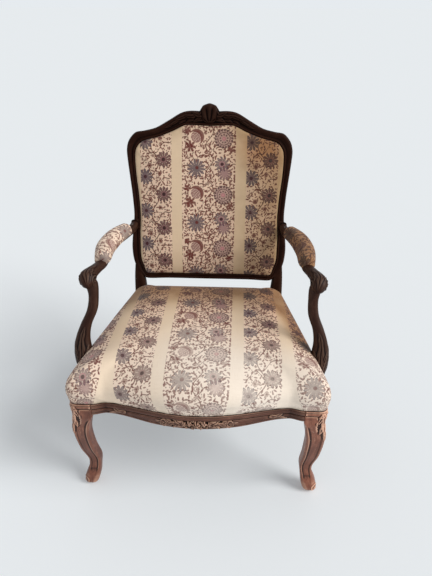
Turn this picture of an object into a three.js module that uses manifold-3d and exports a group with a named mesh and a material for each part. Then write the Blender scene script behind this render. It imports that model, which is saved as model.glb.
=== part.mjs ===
// An open armchair of the Louis XV kind: a carved walnut frame with a cartouche back, scrolled arms and
// cabriole legs, a sprung and stuffed seat, a stuffed back and two small arm pads.
// Millimetres. X runs to the right as seen from the front, Y to the back, Z up.
import * as THREE from 'three';
import { mergeVertices } from 'three/addons/utils/BufferGeometryUtils.js';
import Module from 'manifold-3d';

const wasm = await Module();
wasm.setup();

// Clearances and cloth.
const CLEARANCE = 0.3; // between pieces that touch
const NOTCH = 1.5; // round a post where the seat's cover and stuffing are cut for it
const COVER = 2; // printed cover with its lining
const CLOTH = 1.5; // hessian and dust cloth

// Seat rails.
const LEG_HEIGHT = 300; // floor to the rails' lower edge
const RAIL_FACE = 45; // moulded face of a rail, below the seat cover
const RAIL_UPPER = 27; // part of a rail above it, covered
const RAIL_THICK = 32;
const REBATE = 8; // step that the cover is nailed into
const REAR_TURN = 30; // radius of the upholstery's rear corners, hidden by the uprights
const WEB_LEDGE = 12; // height of the webbing's ledge above a rail's lower edge
const WEB_LIP = 15; // part of a rail's thickness that hangs in front of that ledge
const FRONT_Y = -266; // the front rail's face in the hollow beside each leg
const FRONT_BOW = 44;
const SIDE_ARCH = 8; // how far a rail's lower edge rises between its ends

// Front legs.
const BLOCK_W = 60;
const BLOCK_D = 54;
const BLOCK_ROUND = 20;
const LEG_X = 320; // middle of the block
const LEG_Y = -249;
const KNEE_OUT = 12; // how far the knee stands outwards of the block's middle
const KNEE_HALF = 22;
const ANKLE_BACK = 35; // how far the ankle lies behind the block's middle
const ANKLE_HALF = 17.5;
const FOOT_OUT = 11;
const FOOT_BACK = 25;
const FOOT_HALF = 22;
const MORTISE = 24; // length of a tenon
const TENON_THICK = 10;
const TENON_TALL = 36;

// Back frame. It lies in a plane that leans back, and "up" is measured along that plane.
const BACK_GAP = 88; // the plane's zero above the rails' top
const BACK_Y = 252; // the plane's zero in Y
const BACK_LEAN = THREE.MathUtils.degToRad(12);
const BACK_THICK = 34;
const BACK_REBATE = 12; // depth of the ledge that the back is upholstered on
const BACK_LEDGE = 12; // width of that ledge
const CREST_UP = 556;
const EAR_X = 270;
const EAR_UP = 437;
const WAIST_X = 252;
const WAIST_UP = 222;
const HIP_X = 262;
const HIP_UP = 113;
const HEEL_X = 246;
const HEEL_UP = 36;
const CREST_BAND = 43; // widths of the moulded front
const EAR_BAND = 29;
const SIDE_BAND = 22;
const FOOT_BAND = 19;
const CREST_JOINT_UP = 400;
const FOOT_JOINT_X = 205;

// Rear legs, each in one piece with the back's upright.
const STILE_X = 236;
const STILE_HALF_W = 22;
const STILE_HALF_D = 18;
const REAR_RAKE = 82; // how far a rear foot lies behind its upright
const REAR_SPLAY = 10;
const REAR_FOOT_HALF = 16;

// Arms.
const ARM_RISE = 262; // middle of an arm above the rails' top
const ARM_UP = 194; // where an arm meets the upright
const ARM_HALF_W = 16;
const ARM_HALF_H = 12;
const ARM_BOW_X = 305; // the arm's widest sweep, at its pad
const KNUCKLE_X = 324;
const KNUCKLE_Y = -84;
const KNUCKLE_HALF = 22;
const SUPPORT_Y = -142; // foot of an arm's support on the side rail
const SUPPORT_HALF = 15;
const SUPPORT_BASE_HALF = 24;
const PAD_FRONT_Y = 8;
const PAD_BACK_Y = 226;
const PAD_HALF_W = 27;
const PAD_THICK = 30;

// Upholstery.
const SEAT_BULGE = 22; // how far the seat stands out past its front rail
const SEAT_BULGE_SIDE = 8;
const SEAT_CROWN = 97; // crown above the rails' top
const WEB_WIDTH = 56;
const WEB_THICK = 1.5;
const WEB_PITCH = 1.75; // spacing of the strips in widths
const WEB_WAVE = 0.95; // half of the rise where one strip passes over another
const SPRING_HALF = 34;
const SPRING_WAIST = 25;
const SPRING_WIRE = 2.1; // half of the wire's thickness
const SPRING_TURNS = 3.5;
const SPRING_RISE = 22; // springs above the rails' top
const BACK_CROWN = 15; // how far the back's pad stands proud of its frame
const PEG_HALF = 3.2;
const SCREW_HALF = 2.4;

// Heights and places that follow.
const SEAM_Z = LEG_HEIGHT + RAIL_FACE;
const RAIL_TOP_Z = SEAM_Z + RAIL_UPPER;
const WEB_Z = LEG_HEIGHT + WEB_LEDGE;
const BACK_Z = RAIL_TOP_Z + BACK_GAP;
const ARM_Z = RAIL_TOP_Z + ARM_RISE;
const CROWN_Z = RAIL_TOP_Z + SEAT_CROWN;
const BLOCK_IN_X = LEG_X - BLOCK_W / 2;
const BLOCK_OUT_X = LEG_X + BLOCK_W / 2;
const BLOCK_FRONT_Y = LEG_Y - BLOCK_D / 2;
const BLOCK_REAR_Y = LEG_Y + BLOCK_D / 2;
const STILE_FRONT_Y = BACK_Y - (BACK_Z - RAIL_TOP_Z) * Math.tan(BACK_LEAN) - 2;
const STILE_Y = STILE_FRONT_Y + STILE_HALF_D;
const STILE_REAR_Y = STILE_Y + STILE_HALF_D;
const STILE_IN_X = STILE_X - STILE_HALF_W;
const STILE_OUT_X = STILE_X + STILE_HALF_W;

const SIDES = { left: -1, right: 1 };
const ROUND = 8; // sides of a peg or a screw
const v2 = (x, y) => new THREE.Vector2(x, y);
const v3 = (x, y, z) => new THREE.Vector3(x, y, z);
const mix = THREE.MathUtils.lerp;
const ramp = THREE.MathUtils.smoothstep;

// Making solids.

function volumeOf(position, index) {
  const [a, b, c] = [v3(), v3(), v3()];
  let sum = 0;
  for (let i = 0; i < index.length; i += 3) {
    a.fromArray(position, index[i] * 3);
    b.fromArray(position, index[i + 1] * 3);
    c.fromArray(position, index[i + 2] * 3);
    sum += a.dot(b.cross(c));
  }
  return sum;
}

// Adds the faces that close a ring: a fan about its middle where that sees every edge.
function closeRing(ring, first, turned, position, index) {
  const normal = v3();
  ring.forEach((p, i) => normal.add(v3().crossVectors(p, ring[(i + 1) % ring.length])));
  normal.normalize();
  const middle = ring.reduce((sum, p) => sum.add(p), v3()).divideScalar(ring.length);
  const next = (i) => (i + 1) % ring.length;
  const seen = ring.every((p, i) =>
    p.clone().sub(middle).cross(ring[next(i)].clone().sub(middle)).dot(normal) > 1e-6);
  let faces;
  if (seen) {
    const at = position.length / 3 - first;
    position.push(...middle.toArray());
    faces = ring.map((_, i) => [i, next(i), at]);
  } else {
    const across = ring[1].clone().sub(ring[0]).projectOnPlane(normal).normalize();
    const along = normal.clone().cross(across);
    const flat = ring.map((p) => v2(p.dot(across), p.dot(along)));
    faces = THREE.ShapeUtils.triangulateShape(flat, []).map(([a, b, c]) =>
      (THREE.ShapeUtils.area([flat[a], flat[b], flat[c]]) > 0 ? [a, b, c] : [a, c, b]));
  }
  for (const [a, b, c] of faces) {
    index.push(first + a, first + (turned ? c : b), first + (turned ? b : c));
  }
}

// A solid through rings of equally many points, closed on itself or capped at both ends.
function loft(rings, closed = false) {
  const count = rings[0].length;
  const position = rings.flat().flatMap((p) => p.toArray());
  const index = [];
  const spans = closed ? rings.length : rings.length - 1;
  for (let i = 0; i < spans; i++) {
    const next = ((i + 1) % rings.length) * count;
    for (let j = 0; j < count; j++) {
      const k = (j + 1) % count;
      index.push(i * count + j, i * count + k, next + k);
      index.push(i * count + j, next + k, next + j);
    }
  }
  if (!closed) {
    closeRing(rings[0], 0, true, position, index);
    closeRing(rings.at(-1), (rings.length - 1) * count, false, position, index);
  }
  const geometry = new THREE.BufferGeometry();
  geometry.setAttribute('position', new THREE.Float32BufferAttribute(position, 3));
  geometry.setIndex(index);
  return solid(geometry);
}

// A closed mesh as a solid, with its faces turned outwards.
function solid(geometry) {
  const plain = geometry.clone();
  for (const name of Object.keys(plain.attributes)) {
    if (name !== 'position') plain.deleteAttribute(name);
  }
  const merged = mergeVertices(plain, 1e-3);
  const vertProperties = merged.attributes.position.array;
  const triVerts = new Uint32Array(merged.index.array);
  if (volumeOf(vertProperties, triVerts) < 0) triVerts.reverse();
  return new wasm.Manifold(new wasm.Mesh({ numProp: 3, vertProperties, triVerts }));
}

const AXES = [v3(1, 0, 0), v3(0, 1, 0), v3(0, 0, 1)];

function placed(geometry, middle, axes = AXES) {
  return solid(geometry.applyMatrix4(new THREE.Matrix4().makeBasis(...axes).setPosition(middle)));
}

const slab = (middle, halves, axes) =>
  placed(new THREE.BoxGeometry(...halves.map((half) => half * 2)), middle, axes);

function boxBetween(low, high) {
  const size = high.clone().sub(low);
  return slab(low.clone().add(high).divideScalar(2), size.divideScalar(2).toArray());
}

// A round rod between two points.
function rod(start, end, half) {
  const along = end.clone().sub(start);
  const length = along.length();
  along.normalize();
  const across = v3(0.31, 0.17, 0.93).cross(along).normalize();
  const axes = [across, along, across.clone().cross(along)];
  const middle = start.clone().add(end).divideScalar(2);
  return placed(new THREE.CylinderGeometry(half, half, length, ROUND), middle, axes);
}

// One lobe of carving: a flattened ball whose long way is turned by an angle in the plane of two axes.
function lobe(middle, halves, axes, angle = 0) {
  const [across, up, out] = axes;
  const turned = [
    across.clone().multiplyScalar(Math.cos(angle)).addScaledVector(up, Math.sin(angle)),
    up.clone().multiplyScalar(Math.cos(angle)).addScaledVector(across, -Math.sin(angle)),
    out,
  ];
  return placed(new THREE.SphereGeometry(1, 7, 5).scale(...halves), middle, turned);
}

const extruded = (points, low, high) => {
  const shape = new THREE.Shape(points.map(([x, y]) => v2(x, y)));
  const geometry = new THREE.ExtrudeGeometry(shape, { depth: high - low, bevelEnabled: false });
  return solid(geometry.translate(0, 0, low));
};

// A rounded ring about a middle. Power 2 is an oval, and larger powers are squarer.
function oval(middle, across, along, halfAcross, halfAlong, power, count) {
  const reach = (value, half) => Math.sign(value) * Math.abs(value) ** (2 / power) * half;
  return Array.from({ length: count }, (_, i) => {
    const angle = ((i + 0.5) / count) * Math.PI * 2;
    return middle.clone()
      .addScaledVector(across, reach(Math.cos(angle), halfAcross))
      .addScaledVector(along, reach(Math.sin(angle), halfAlong));
  });
}

const smooth = (points) => new THREE.CatmullRomCurve3(points, false, 'catmullrom', 0.5);

// A member through stations [x, y, z, half width, half depth], with its rings level.
function post(stations, side, grow, { steps, count, power }) {
  const centre = smooth(stations.map(([x, y, z]) => v3(x * side, y, z)));
  const size = smooth(stations.map(([, , , w, d]) => v3(w, d, 0)));
  return loft(Array.from({ length: steps + 1 }, (_, i) => {
    const half = size.getPoint(i / steps);
    const middle = centre.getPoint(i / steps);
    return oval(middle, AXES[0], AXES[1], half.x + grow, half.y + grow, power, count);
  }));
}

const parts = new Map();

function keep(name, made, material) {
  parts.set(name, { made, material });
}
function cut(name, tool) {
  parts.get(name).made = parts.get(name).made.subtract(tool);
}
function join(name, more) {
  parts.get(name).made = parts.get(name).made.add(more);
}

const finish = (color, roughness, metalness = 0) =>
  new THREE.MeshStandardMaterial({ color, roughness, metalness });
const walnut = () => finish(0x4a2a1c, 0.42);
const beech = () => finish(0x9a7550, 0.6);
const print = () => finish(0xd8c3a0, 0.9);
const hair = () => finish(0x5a4636, 1);
const jute = () => finish(0x9c8055, 0.95);
const dustCloth = () => finish(0x2e2a28, 0.95);
const springSteel = () => finish(0x54504c, 0.45, 0.9);

// The seat's plan.

// The front rail's face: bowed in the middle, hollow beside the legs and flush with their blocks.
function frontFaceY(x) {
  const share = Math.min(Math.abs(x) / BLOCK_IN_X, 1);
  const bow = 0.5 + 0.5 * Math.cos(Math.PI * Math.min(share / 0.86, 1));
  return mix(FRONT_Y - FRONT_BOW * bow ** 0.7, BLOCK_FRONT_Y, ramp(share, 0.86, 1));
}

const FRONT_END_X = BLOCK_IN_X - CLEARANCE;

// Outwards of that face in plan. At the rail's ends it is square to the leg.
function frontOut(x) {
  if (Math.abs(x) >= FRONT_END_X) return v2(0, -1);
  return v2((frontFaceY(x + 1) - frontFaceY(x - 1)) / 2, -1).normalize();
}

// The right side rail's outer face, straight from the front block to the upright.
const SIDE_FRONT_X = BLOCK_OUT_X - 4;
const SIDE_SLOPE = (STILE_OUT_X - SIDE_FRONT_X) / (STILE_FRONT_Y - BLOCK_REAR_Y);
const SIDE_STRETCH = Math.hypot(1, SIDE_SLOPE); // a slanted face's offset, measured along X
const sideFaceX = (y) => SIDE_FRONT_X + SIDE_SLOPE * (y - BLOCK_REAR_Y);

const FRONT_STEPS = 14; // across the front rail
const CORNER_STEPS = 3;

// The line round the seat's rails, anticlockwise from the middle of the front, as [point, outwards].
const seatLine = (() => {
  const half = [];
  for (let i = 0; i <= FRONT_STEPS / 2; i++) {
    const x = mix(0, FRONT_END_X, i / (FRONT_STEPS / 2));
    half.push([v2(x, frontFaceY(x)), frontOut(x)]);
  }
  const turn = (x, y, radius, from) => {
    for (let i = 0; i <= CORNER_STEPS; i++) {
      const angle = from + (i / CORNER_STEPS) * (Math.PI / 2);
      const out = v2(Math.cos(angle), Math.sin(angle));
      half.push([v2(x, y).addScaledVector(out, radius), out]);
    }
  };
  turn(BLOCK_OUT_X - BLOCK_ROUND, BLOCK_FRONT_Y + BLOCK_ROUND, BLOCK_ROUND, -Math.PI / 2);
  const turnY = STILE_REAR_Y - REAR_TURN;
  const sideOut = v2(1, -SIDE_SLOPE).normalize();
  for (let i = 0; i < 5; i++) {
    const y = mix(BLOCK_REAR_Y, turnY, i / 5);
    half.push([v2(sideFaceX(y), y), sideOut]);
  }
  const rearX = sideFaceX(turnY) - REAR_TURN;
  turn(rearX, turnY, REAR_TURN, 0);
  for (const share of [0.66, 0.22]) half.push([v2(rearX * share, STILE_REAR_Y), v2(0, 1)]);
  const left = half.slice(1).reverse().map(([p, out]) => [v2(-p.x, p.y), v2(-out.x, out.y)]);
  return [...half, ...left];
})();

// That line moved inwards by an inset, out by a share of the seat's bulge, and shrunk about the middle.
function seatRing(inset, z, scale = 1, bulge = 0) {
  const middleY = (FRONT_Y + STILE_REAR_Y) / 2;
  return seatLine.map(([p, out]) => {
    const x = p.x + out.x * (bulge * SEAT_BULGE_SIDE - inset);
    const y = p.y + out.y * (bulge * (out.y < 0 ? SEAT_BULGE : SEAT_BULGE_SIDE) - inset);
    return v3(x * scale, mix(middleY, y, scale), z);
  });
}

// Rails.

// A rail's section as [outwards of its face, height].
function railSection(arch, grow = 0) {
  const bottom = LEG_HEIGHT + arch;
  return [
    [-RAIL_THICK - grow, RAIL_TOP_Z], [-RAIL_THICK - grow, WEB_Z], [-WEB_LIP, WEB_Z],
    [-WEB_LIP, bottom + 1], [-4, bottom], [0, bottom + 4], [-1, bottom + 8],
    [1.5, mix(bottom, SEAM_Z, 0.45)], [-1, SEAM_Z - 13], [-2.5, SEAM_Z - 10], [1, SEAM_Z - 6],
    [0, SEAM_Z], [-REBATE, SEAM_Z], [-REBATE, RAIL_TOP_Z],
  ];
}

function frontRail(grow = 0) {
  return loft(Array.from({ length: FRONT_STEPS + 1 }, (_, i) => {
    const x = mix(-FRONT_END_X, FRONT_END_X, i / FRONT_STEPS);
    const out = frontOut(x);
    const arch = SIDE_ARCH * ramp(Math.abs(x) / BLOCK_IN_X, 0.35, 0.8);
    return railSection(arch, grow).map(([o, z]) => v3(x + out.x * o, frontFaceY(x) + out.y * o, z));
  }));
}

const SIDE_START_Y = BLOCK_REAR_Y + CLEARANCE;
const SIDE_END_Y = STILE_FRONT_Y - CLEARANCE;

function sideRail(side, grow = 0) {
  const steps = 6;
  return loft(Array.from({ length: steps + 1 }, (_, i) => {
    const y = mix(SIDE_START_Y, SIDE_END_Y, i / steps);
    const arch = SIDE_ARCH * Math.sin((Math.PI * i) / steps) ** 2;
    return railSection(arch, grow).map(([o, z]) => v3((sideFaceX(y) + o * SIDE_STRETCH) * side, y, z));
  }));
}

const REAR_END_X = STILE_IN_X - CLEARANCE;

function rearRail(grow = 0) {
  const steps = 4;
  return loft(Array.from({ length: steps + 1 }, (_, i) => {
    const x = mix(-REAR_END_X, REAR_END_X, i / steps);
    const arch = SIDE_ARCH * Math.sin((Math.PI * i) / steps) ** 2;
    return railSection(arch, grow).map(([o, z]) => v3(x, STILE_REAR_Y + o, z));
  }));
}

// Front legs.

function blockOutline(inset) {
  const [right, front] = [BLOCK_OUT_X - inset, BLOCK_FRONT_Y + inset];
  const points = [[BLOCK_IN_X, BLOCK_REAR_Y], [BLOCK_IN_X, front]];
  const round = BLOCK_ROUND - inset;
  for (let i = 0; i <= CORNER_STEPS; i++) {
    const angle = -Math.PI / 2 + (i / CORNER_STEPS) * (Math.PI / 2);
    points.push([right - round * (1 - Math.cos(angle)), front + round * (1 + Math.sin(angle))]);
  }
  points.push([SIDE_FRONT_X - inset * SIDE_STRETCH, BLOCK_REAR_Y]);
  return points;
}
const mirroredOutline = (points, side) => points.map(([x, y]) => [x * side, y]);

function frontLeg(side) {
  const stations = [
    [LEG_X + FOOT_OUT, LEG_Y + FOOT_BACK, 0, FOOT_HALF - 5, FOOT_HALF - 5],
    [LEG_X + FOOT_OUT, LEG_Y + FOOT_BACK, 0.04, FOOT_HALF, FOOT_HALF],
    [LEG_X + FOOT_OUT - 4, LEG_Y + FOOT_BACK + 4, 0.11, FOOT_HALF, FOOT_HALF],
    [LEG_X, LEG_Y + ANKLE_BACK, 0.2, ANKLE_HALF, ANKLE_HALF],
    [LEG_X - 3, LEG_Y + ANKLE_BACK, 0.32, ANKLE_HALF, ANKLE_HALF],
    [LEG_X + 7, LEG_Y + 18, 0.52, KNEE_HALF - 2, KNEE_HALF - 2],
    [LEG_X + KNEE_OUT, LEG_Y + 6, 0.74, KNEE_HALF, KNEE_HALF],
    [LEG_X + KNEE_OUT - 5, LEG_Y + 2, 0.9, KNEE_HALF + 3, KNEE_HALF + 2],
    [LEG_X + 1, LEG_Y + 1, 1.03, BLOCK_W / 2 - 4, BLOCK_D / 2 - 4],
  ].map(([x, y, share, w, d]) => [x, y, share * LEG_HEIGHT, w, d]);
  const leaf = v3((BLOCK_OUT_X - 9) * side, BLOCK_FRONT_Y + 9, LEG_HEIGHT + 4);
  const corner = [v3(side, 1, 0).normalize(), AXES[2], v3(side, -1, 0).normalize()];
  return post(stations, side, 0, { steps: 15, count: 12, power: 3.2 })
    .add(extruded(mirroredOutline(blockOutline(0), side), LEG_HEIGHT, SEAM_Z))
    .add(extruded(mirroredOutline(blockOutline(REBATE), side), SEAM_Z - 1, RAIL_TOP_Z))
    .add(lobe(leaf, [9, 34, 5], corner));
}

// Back frame, in its own leaning plane: x, up, and out towards the sitter.

const UP = v3(0, Math.sin(BACK_LEAN), Math.cos(BACK_LEAN));
const OUT = v3(0, -Math.cos(BACK_LEAN), Math.sin(BACK_LEAN));
const BACK_AXES = [AXES[0], UP, OUT];
const onBack = (x, up, out) =>
  v3(x, BACK_Y, BACK_Z).addScaledVector(UP, up).addScaledVector(OUT, out);
const FOOT_UP = 4;

// The frame's outer edge as [x, up, width of its moulded front], from the crest to the foot.
const BACK_EDGE = [
  [0, CREST_UP, CREST_BAND], [60, CREST_UP + 2, CREST_BAND], [92, CREST_UP - 5, CREST_BAND - 4],
  [130, CREST_UP - 27, EAR_BAND + 6], [172, CREST_UP - 50, EAR_BAND],
  [EAR_X - 60, EAR_UP + 59, EAR_BAND], [EAR_X - 30, EAR_UP + 53, EAR_BAND + 5],
  [EAR_X - 8, EAR_UP + 29, EAR_BAND + 4], [EAR_X, EAR_UP, EAR_BAND],
  [EAR_X - 2, mix(EAR_UP, WAIST_UP, 0.17), SIDE_BAND + 3],
  [EAR_X - 8, mix(EAR_UP, WAIST_UP, 0.42), SIDE_BAND],
  [mix(WAIST_X, EAR_X, 0.2), mix(WAIST_UP, EAR_UP, 0.3), SIDE_BAND],
  [WAIST_X, WAIST_UP, SIDE_BAND],
  [mix(WAIST_X, HIP_X, 0.6), mix(WAIST_UP, HIP_UP, 0.5), SIDE_BAND + 3],
  [HIP_X, HIP_UP, EAR_BAND], [HIP_X - 4, HIP_UP - 43, EAR_BAND - 2],
  [HEEL_X, HEEL_UP, SIDE_BAND + 4], [HEEL_X - 20, HEEL_UP - 22, FOOT_BAND],
  [HEEL_X * 0.845, FOOT_UP - 2, FOOT_BAND], [HEEL_X * 0.55, FOOT_UP, FOOT_BAND], [0, FOOT_UP, FOOT_BAND],
];

// Both edges of the frame all round. The width is measured square to a long chord, so that the inner
// edge turns the corners more softly than the outer one.
const SWEEP = 2;
const backEdges = (() => {
  const right = BACK_EDGE.map(([x, up, band]) => v3(x, up, band));
  const left = right.slice(1, -1).reverse().map((p) => v3(-p.x, p.y, p.z));
  const points = [...right, ...left];
  const curve = new THREE.CatmullRomCurve3(points, true, 'catmullrom', 0.4);
  const count = points.length;
  const outer = Array.from({ length: count }, (_, i) => curve.getPoint(i / count));
  return outer.map((p, i) => {
    const run = outer[(i + SWEEP) % count].clone().sub(outer[(i + count - SWEEP) % count]);
    const inward = v2(-run.y, run.x).normalize().multiplyScalar(-p.z);
    return { outer: v2(p.x, p.y), inner: v2(p.x, p.y).add(inward), band: p.z };
  });
})();

// A plate or pad in the back's plane: rings of [offset inwards, scale, out].
function backRings(list) {
  const middle = v2(0, mix(FOOT_UP, CREST_UP, 0.5));
  return list.map(([inset, scale, out]) => backEdges.map(({ outer, inner }) => {
    const inward = inner.clone().sub(outer).normalize();
    const p = inner.clone().addScaledVector(inward, inset).sub(middle).multiplyScalar(scale).add(middle);
    return onBack(p.x, p.y, out);
  }));
}

const backRing = loft(backEdges.map(({ outer, inner, band }) => {
  const outward = outer.clone().sub(inner).normalize();
  const section = [
    [-BACK_LEDGE, -BACK_REBATE], [0, -BACK_REBATE], [0, -1], [0.16 * band, 2], [0.34 * band, -2],
    [0.7 * band, 1], [band, -6], [band, 5 - BACK_THICK], [band - 3, -BACK_THICK],
    [-BACK_LEDGE, -BACK_THICK],
  ];
  return section.map(([across, out]) => {
    const p = inner.clone().addScaledVector(outward, across);
    return onBack(p.x, p.y, out);
  });
}), true);

// A box in the back's plane, from its ranges.
function backBox([x0, x1], [up0, up1], [out0, out1]) {
  const middle = onBack((x0 + x1) / 2, (up0 + up1) / 2, (out0 + out1) / 2);
  return slab(middle, [Math.abs(x1 - x0) / 2, (up1 - up0) / 2, (out1 - out0) / 2], BACK_AXES);
}
const FAR = 400;
const WIDE = [-FAR, FAR];
const DEEP = [-BACK_THICK - 40, 40];
const SAW = CLEARANCE / 2; // taken from each side of a joint

function crestCarving() {
  const knob = lobe(onBack(0, CREST_UP, -10), [31, 19, 15], BACK_AXES);
  const bud = lobe(onBack(0, CREST_UP - 18, 1), [16, 15, 7], BACK_AXES);
  let carving = knob.add(bud);
  for (const side of Object.values(SIDES)) {
    const leaves = [[32, -12, 19, 8, 0.15], [60, -17, 19, 7, -0.05], [90, -24, 18, 6, -0.3]];
    for (const [x, drop, long, wide, tilt] of leaves) {
      const middle = onBack(x * side, CREST_UP + drop, 0);
      carving = carving.add(lobe(middle, [long, wide, 5], BACK_AXES, tilt * side));
    }
  }
  return carving;
}

// The flat on an upright that an arm is screwed against.
const ARM_SEAT_HALF = 16;
const ARM_SEAT_OUT = 2;
const armSeat = (side) => {
  const across = [(WAIST_X - 16) * side, (WAIST_X + 9) * side];
  return backBox(across, [ARM_UP - ARM_SEAT_HALF, ARM_UP + ARM_SEAT_HALF], [-24, ARM_SEAT_OUT]);
};

function rearLeg(side) {
  const upright = (z) => BACK_Y + (z - BACK_Z) * Math.tan(BACK_LEAN) + STILE_HALF_D;
  const neck = mix(RAIL_TOP_Z, BACK_Z, 0.45);
  const foot = REAR_FOOT_HALF;
  const lower = [
    [STILE_X + REAR_SPLAY, STILE_Y + REAR_RAKE, 0, foot, foot],
    [STILE_X + REAR_SPLAY - 2, STILE_Y + REAR_RAKE * 0.72, LEG_HEIGHT * 0.2, foot, foot],
    [STILE_X + 3, STILE_Y + REAR_RAKE * 0.3, LEG_HEIGHT * 0.6, foot + 3, foot + 1],
    [STILE_X, STILE_Y + 2, LEG_HEIGHT + 6, STILE_HALF_W - 1, STILE_HALF_D - 1],
    [STILE_X, STILE_Y, RAIL_TOP_Z - 6, STILE_HALF_W - 1, STILE_HALF_D - 1],
    [STILE_X, upright(neck), neck, STILE_HALF_W - 1, STILE_HALF_D - 1],
    [STILE_X + 3, upright(BACK_Z) - 1, BACK_Z + 10, STILE_HALF_W - 5, STILE_HALF_D - 2],
    [STILE_X + 6, upright(BACK_Z + 60) - 2, BACK_Z + 60, STILE_HALF_W - 11, STILE_HALF_D - 5],
  ];
  const block = boxBetween(
    v3(Math.min(STILE_IN_X * side, STILE_OUT_X * side), STILE_FRONT_Y, LEG_HEIGHT),
    v3(Math.max(STILE_IN_X * side, STILE_OUT_X * side), STILE_REAR_Y - REBATE, RAIL_TOP_Z + 4));
  const reach = side > 0 ? [FOOT_JOINT_X + SAW, FAR] : [-FAR, -FOOT_JOINT_X - SAW];
  const stile = backRing.intersect(backBox(reach, [-FAR, CREST_JOINT_UP - SAW], DEEP));
  return stile.add(armSeat(side)).add(block)
    .add(post(lower, side, 0, { steps: 14, count: 12, power: 4 }));
}

// Arms and their supports.

const armStations = [
  [WAIST_X - 4, 318, ARM_Z + 14, ARM_HALF_W - 3, ARM_HALF_H + 2],
  [WAIST_X + 1, 272, ARM_Z + 8, ARM_HALF_W - 3, ARM_HALF_H + 2],
  [mix(WAIST_X, ARM_BOW_X, 0.32), 226, ARM_Z + 3, ARM_HALF_W - 1, ARM_HALF_H],
  [mix(WAIST_X, ARM_BOW_X, 0.78), 165, ARM_Z - 2, ARM_HALF_W, ARM_HALF_H],
  [ARM_BOW_X, 93, ARM_Z - 5, ARM_HALF_W, ARM_HALF_H],
  [ARM_BOW_X - 3, 20, ARM_Z - 3, ARM_HALF_W, ARM_HALF_H],
  [mix(ARM_BOW_X, KNUCKLE_X, 0.3), KNUCKLE_Y + 54, ARM_Z + 2, ARM_HALF_W, ARM_HALF_H + 1],
  [KNUCKLE_X - 3, KNUCKLE_Y + 20, ARM_Z + 1, KNUCKLE_HALF - 3, KNUCKLE_HALF - 5],
  [KNUCKLE_X, KNUCKLE_Y, ARM_Z - 4, KNUCKLE_HALF, KNUCKLE_HALF - 1],
  [KNUCKLE_X - 3, KNUCKLE_Y - 18, ARM_Z - 13, KNUCKLE_HALF - 7, KNUCKLE_HALF - 8],
  [KNUCKLE_X - 6, KNUCKLE_Y - 27, ARM_Z - 19, 4, 4],
];
const ARM_STEPS = 17;

function armFrames(side) {
  const centre = smooth(armStations.map(([x, y, z]) => v3(x * side, y, z)));
  const size = smooth(armStations.map(([, , , w, h]) => v3(w, h, 0)));
  return (share) => {
    const along = centre.getTangent(share);
    const across = along.clone().cross(AXES[2]).normalize();
    const up = across.clone().cross(along);
    return { middle: centre.getPoint(share), across, up, size: size.getPoint(share) };
  };
}

function arm(side, grow) {
  const frame = armFrames(side);
  const whole = loft(Array.from({ length: ARM_STEPS + 1 }, (_, i) => {
    const { middle, across, up, size } = frame(i / ARM_STEPS);
    return oval(middle, across, up, size.x + grow, size.y + grow, 2.6, 10);
  }));
  return whole.subtract(backBox(WIDE, [-FAR, FAR * 2], [-FAR, ARM_SEAT_OUT + CLEARANCE]));
}

const SUPPORT_X = sideFaceX(SUPPORT_Y); // where a support's foot meets the side rail's face
const SUPPORT_SCREW_IN = 7.5; // how far its screw reaches past that face

function support(side, grow) {
  const top = ARM_Z - 6;
  const up = (share) => mix(RAIL_TOP_Z, top, share);
  const stations = [
    [SUPPORT_X + 2.5, SUPPORT_Y, LEG_HEIGHT + 16, 9, 14],
    [SUPPORT_X + 3.5, SUPPORT_Y, SEAM_Z - 2, 10, 15],
    [SUPPORT_X + 6.5, SUPPORT_Y + 1, RAIL_TOP_Z, 18, 17],
    [SUPPORT_X + 6.5, SUPPORT_Y + 6, up(0.11), SUPPORT_BASE_HALF, 20],
    [SUPPORT_X + 7.5, SUPPORT_Y + 13, up(0.21), SUPPORT_BASE_HALF, 19],
    [SUPPORT_X + 8.5, SUPPORT_Y + 25, up(0.345), SUPPORT_HALF + 5, SUPPORT_HALF + 1],
    [SUPPORT_X + 0.5, SUPPORT_Y + 37, up(0.485), SUPPORT_HALF + 1, SUPPORT_HALF],
    [KNUCKLE_X - 8, KNUCKLE_Y - 7, up(0.64), SUPPORT_HALF, SUPPORT_HALF - 1],
    [KNUCKLE_X - 11, KNUCKLE_Y + 5, up(0.8), SUPPORT_HALF - 1, SUPPORT_HALF - 1],
    [KNUCKLE_X - 7, KNUCKLE_Y + 10, up(0.93), SUPPORT_HALF + 2, SUPPORT_HALF + 1],
    [KNUCKLE_X - 3, KNUCKLE_Y + 6, top, SUPPORT_HALF - 3, SUPPORT_HALF - 3],
  ];
  return post(stations, side, grow, { steps: 16, count: 10, power: 2.6 });
}

// Seat upholstery.

// The seat's rounded side and crown as [inset, height, scale, bulge], from its hem to the middle.
const seatProfile = [
  [REBATE - CLEARANCE - COVER - 1, SEAM_Z + 0.5, 1, 0], [1, SEAM_Z + 7, 1, 0],
  [0, RAIL_TOP_Z + 8, 1, 0.95], [0, RAIL_TOP_Z + 36, 1, 0.86], [0, RAIL_TOP_Z + 57, 1, 0.2],
  [0, CROWN_Z - 25, 0.88, 0], [0, CROWN_Z - 9, 0.62, 0], [0, CROWN_Z - 1, 0.3, 0], [0, CROWN_Z, 0.08, 0],
];
// The profile moved inwards by a distance, square to itself.
const seatProfileIn = (distance) => seatProfile.map(([inset, z, scale, bulge], i) => {
  const spread = ([near, , share, full]) => full * SEAT_BULGE - near - (1 - share) * BLOCK_OUT_X;
  const before = seatProfile[Math.max(i - 1, 0)];
  const after = seatProfile[Math.min(i + 1, seatProfile.length - 1)];
  const run = v2(spread(after) - spread(before), after[1] - before[1]).normalize();
  return [inset + run.y * distance, z + run.x * distance, scale, bulge];
});

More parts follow.
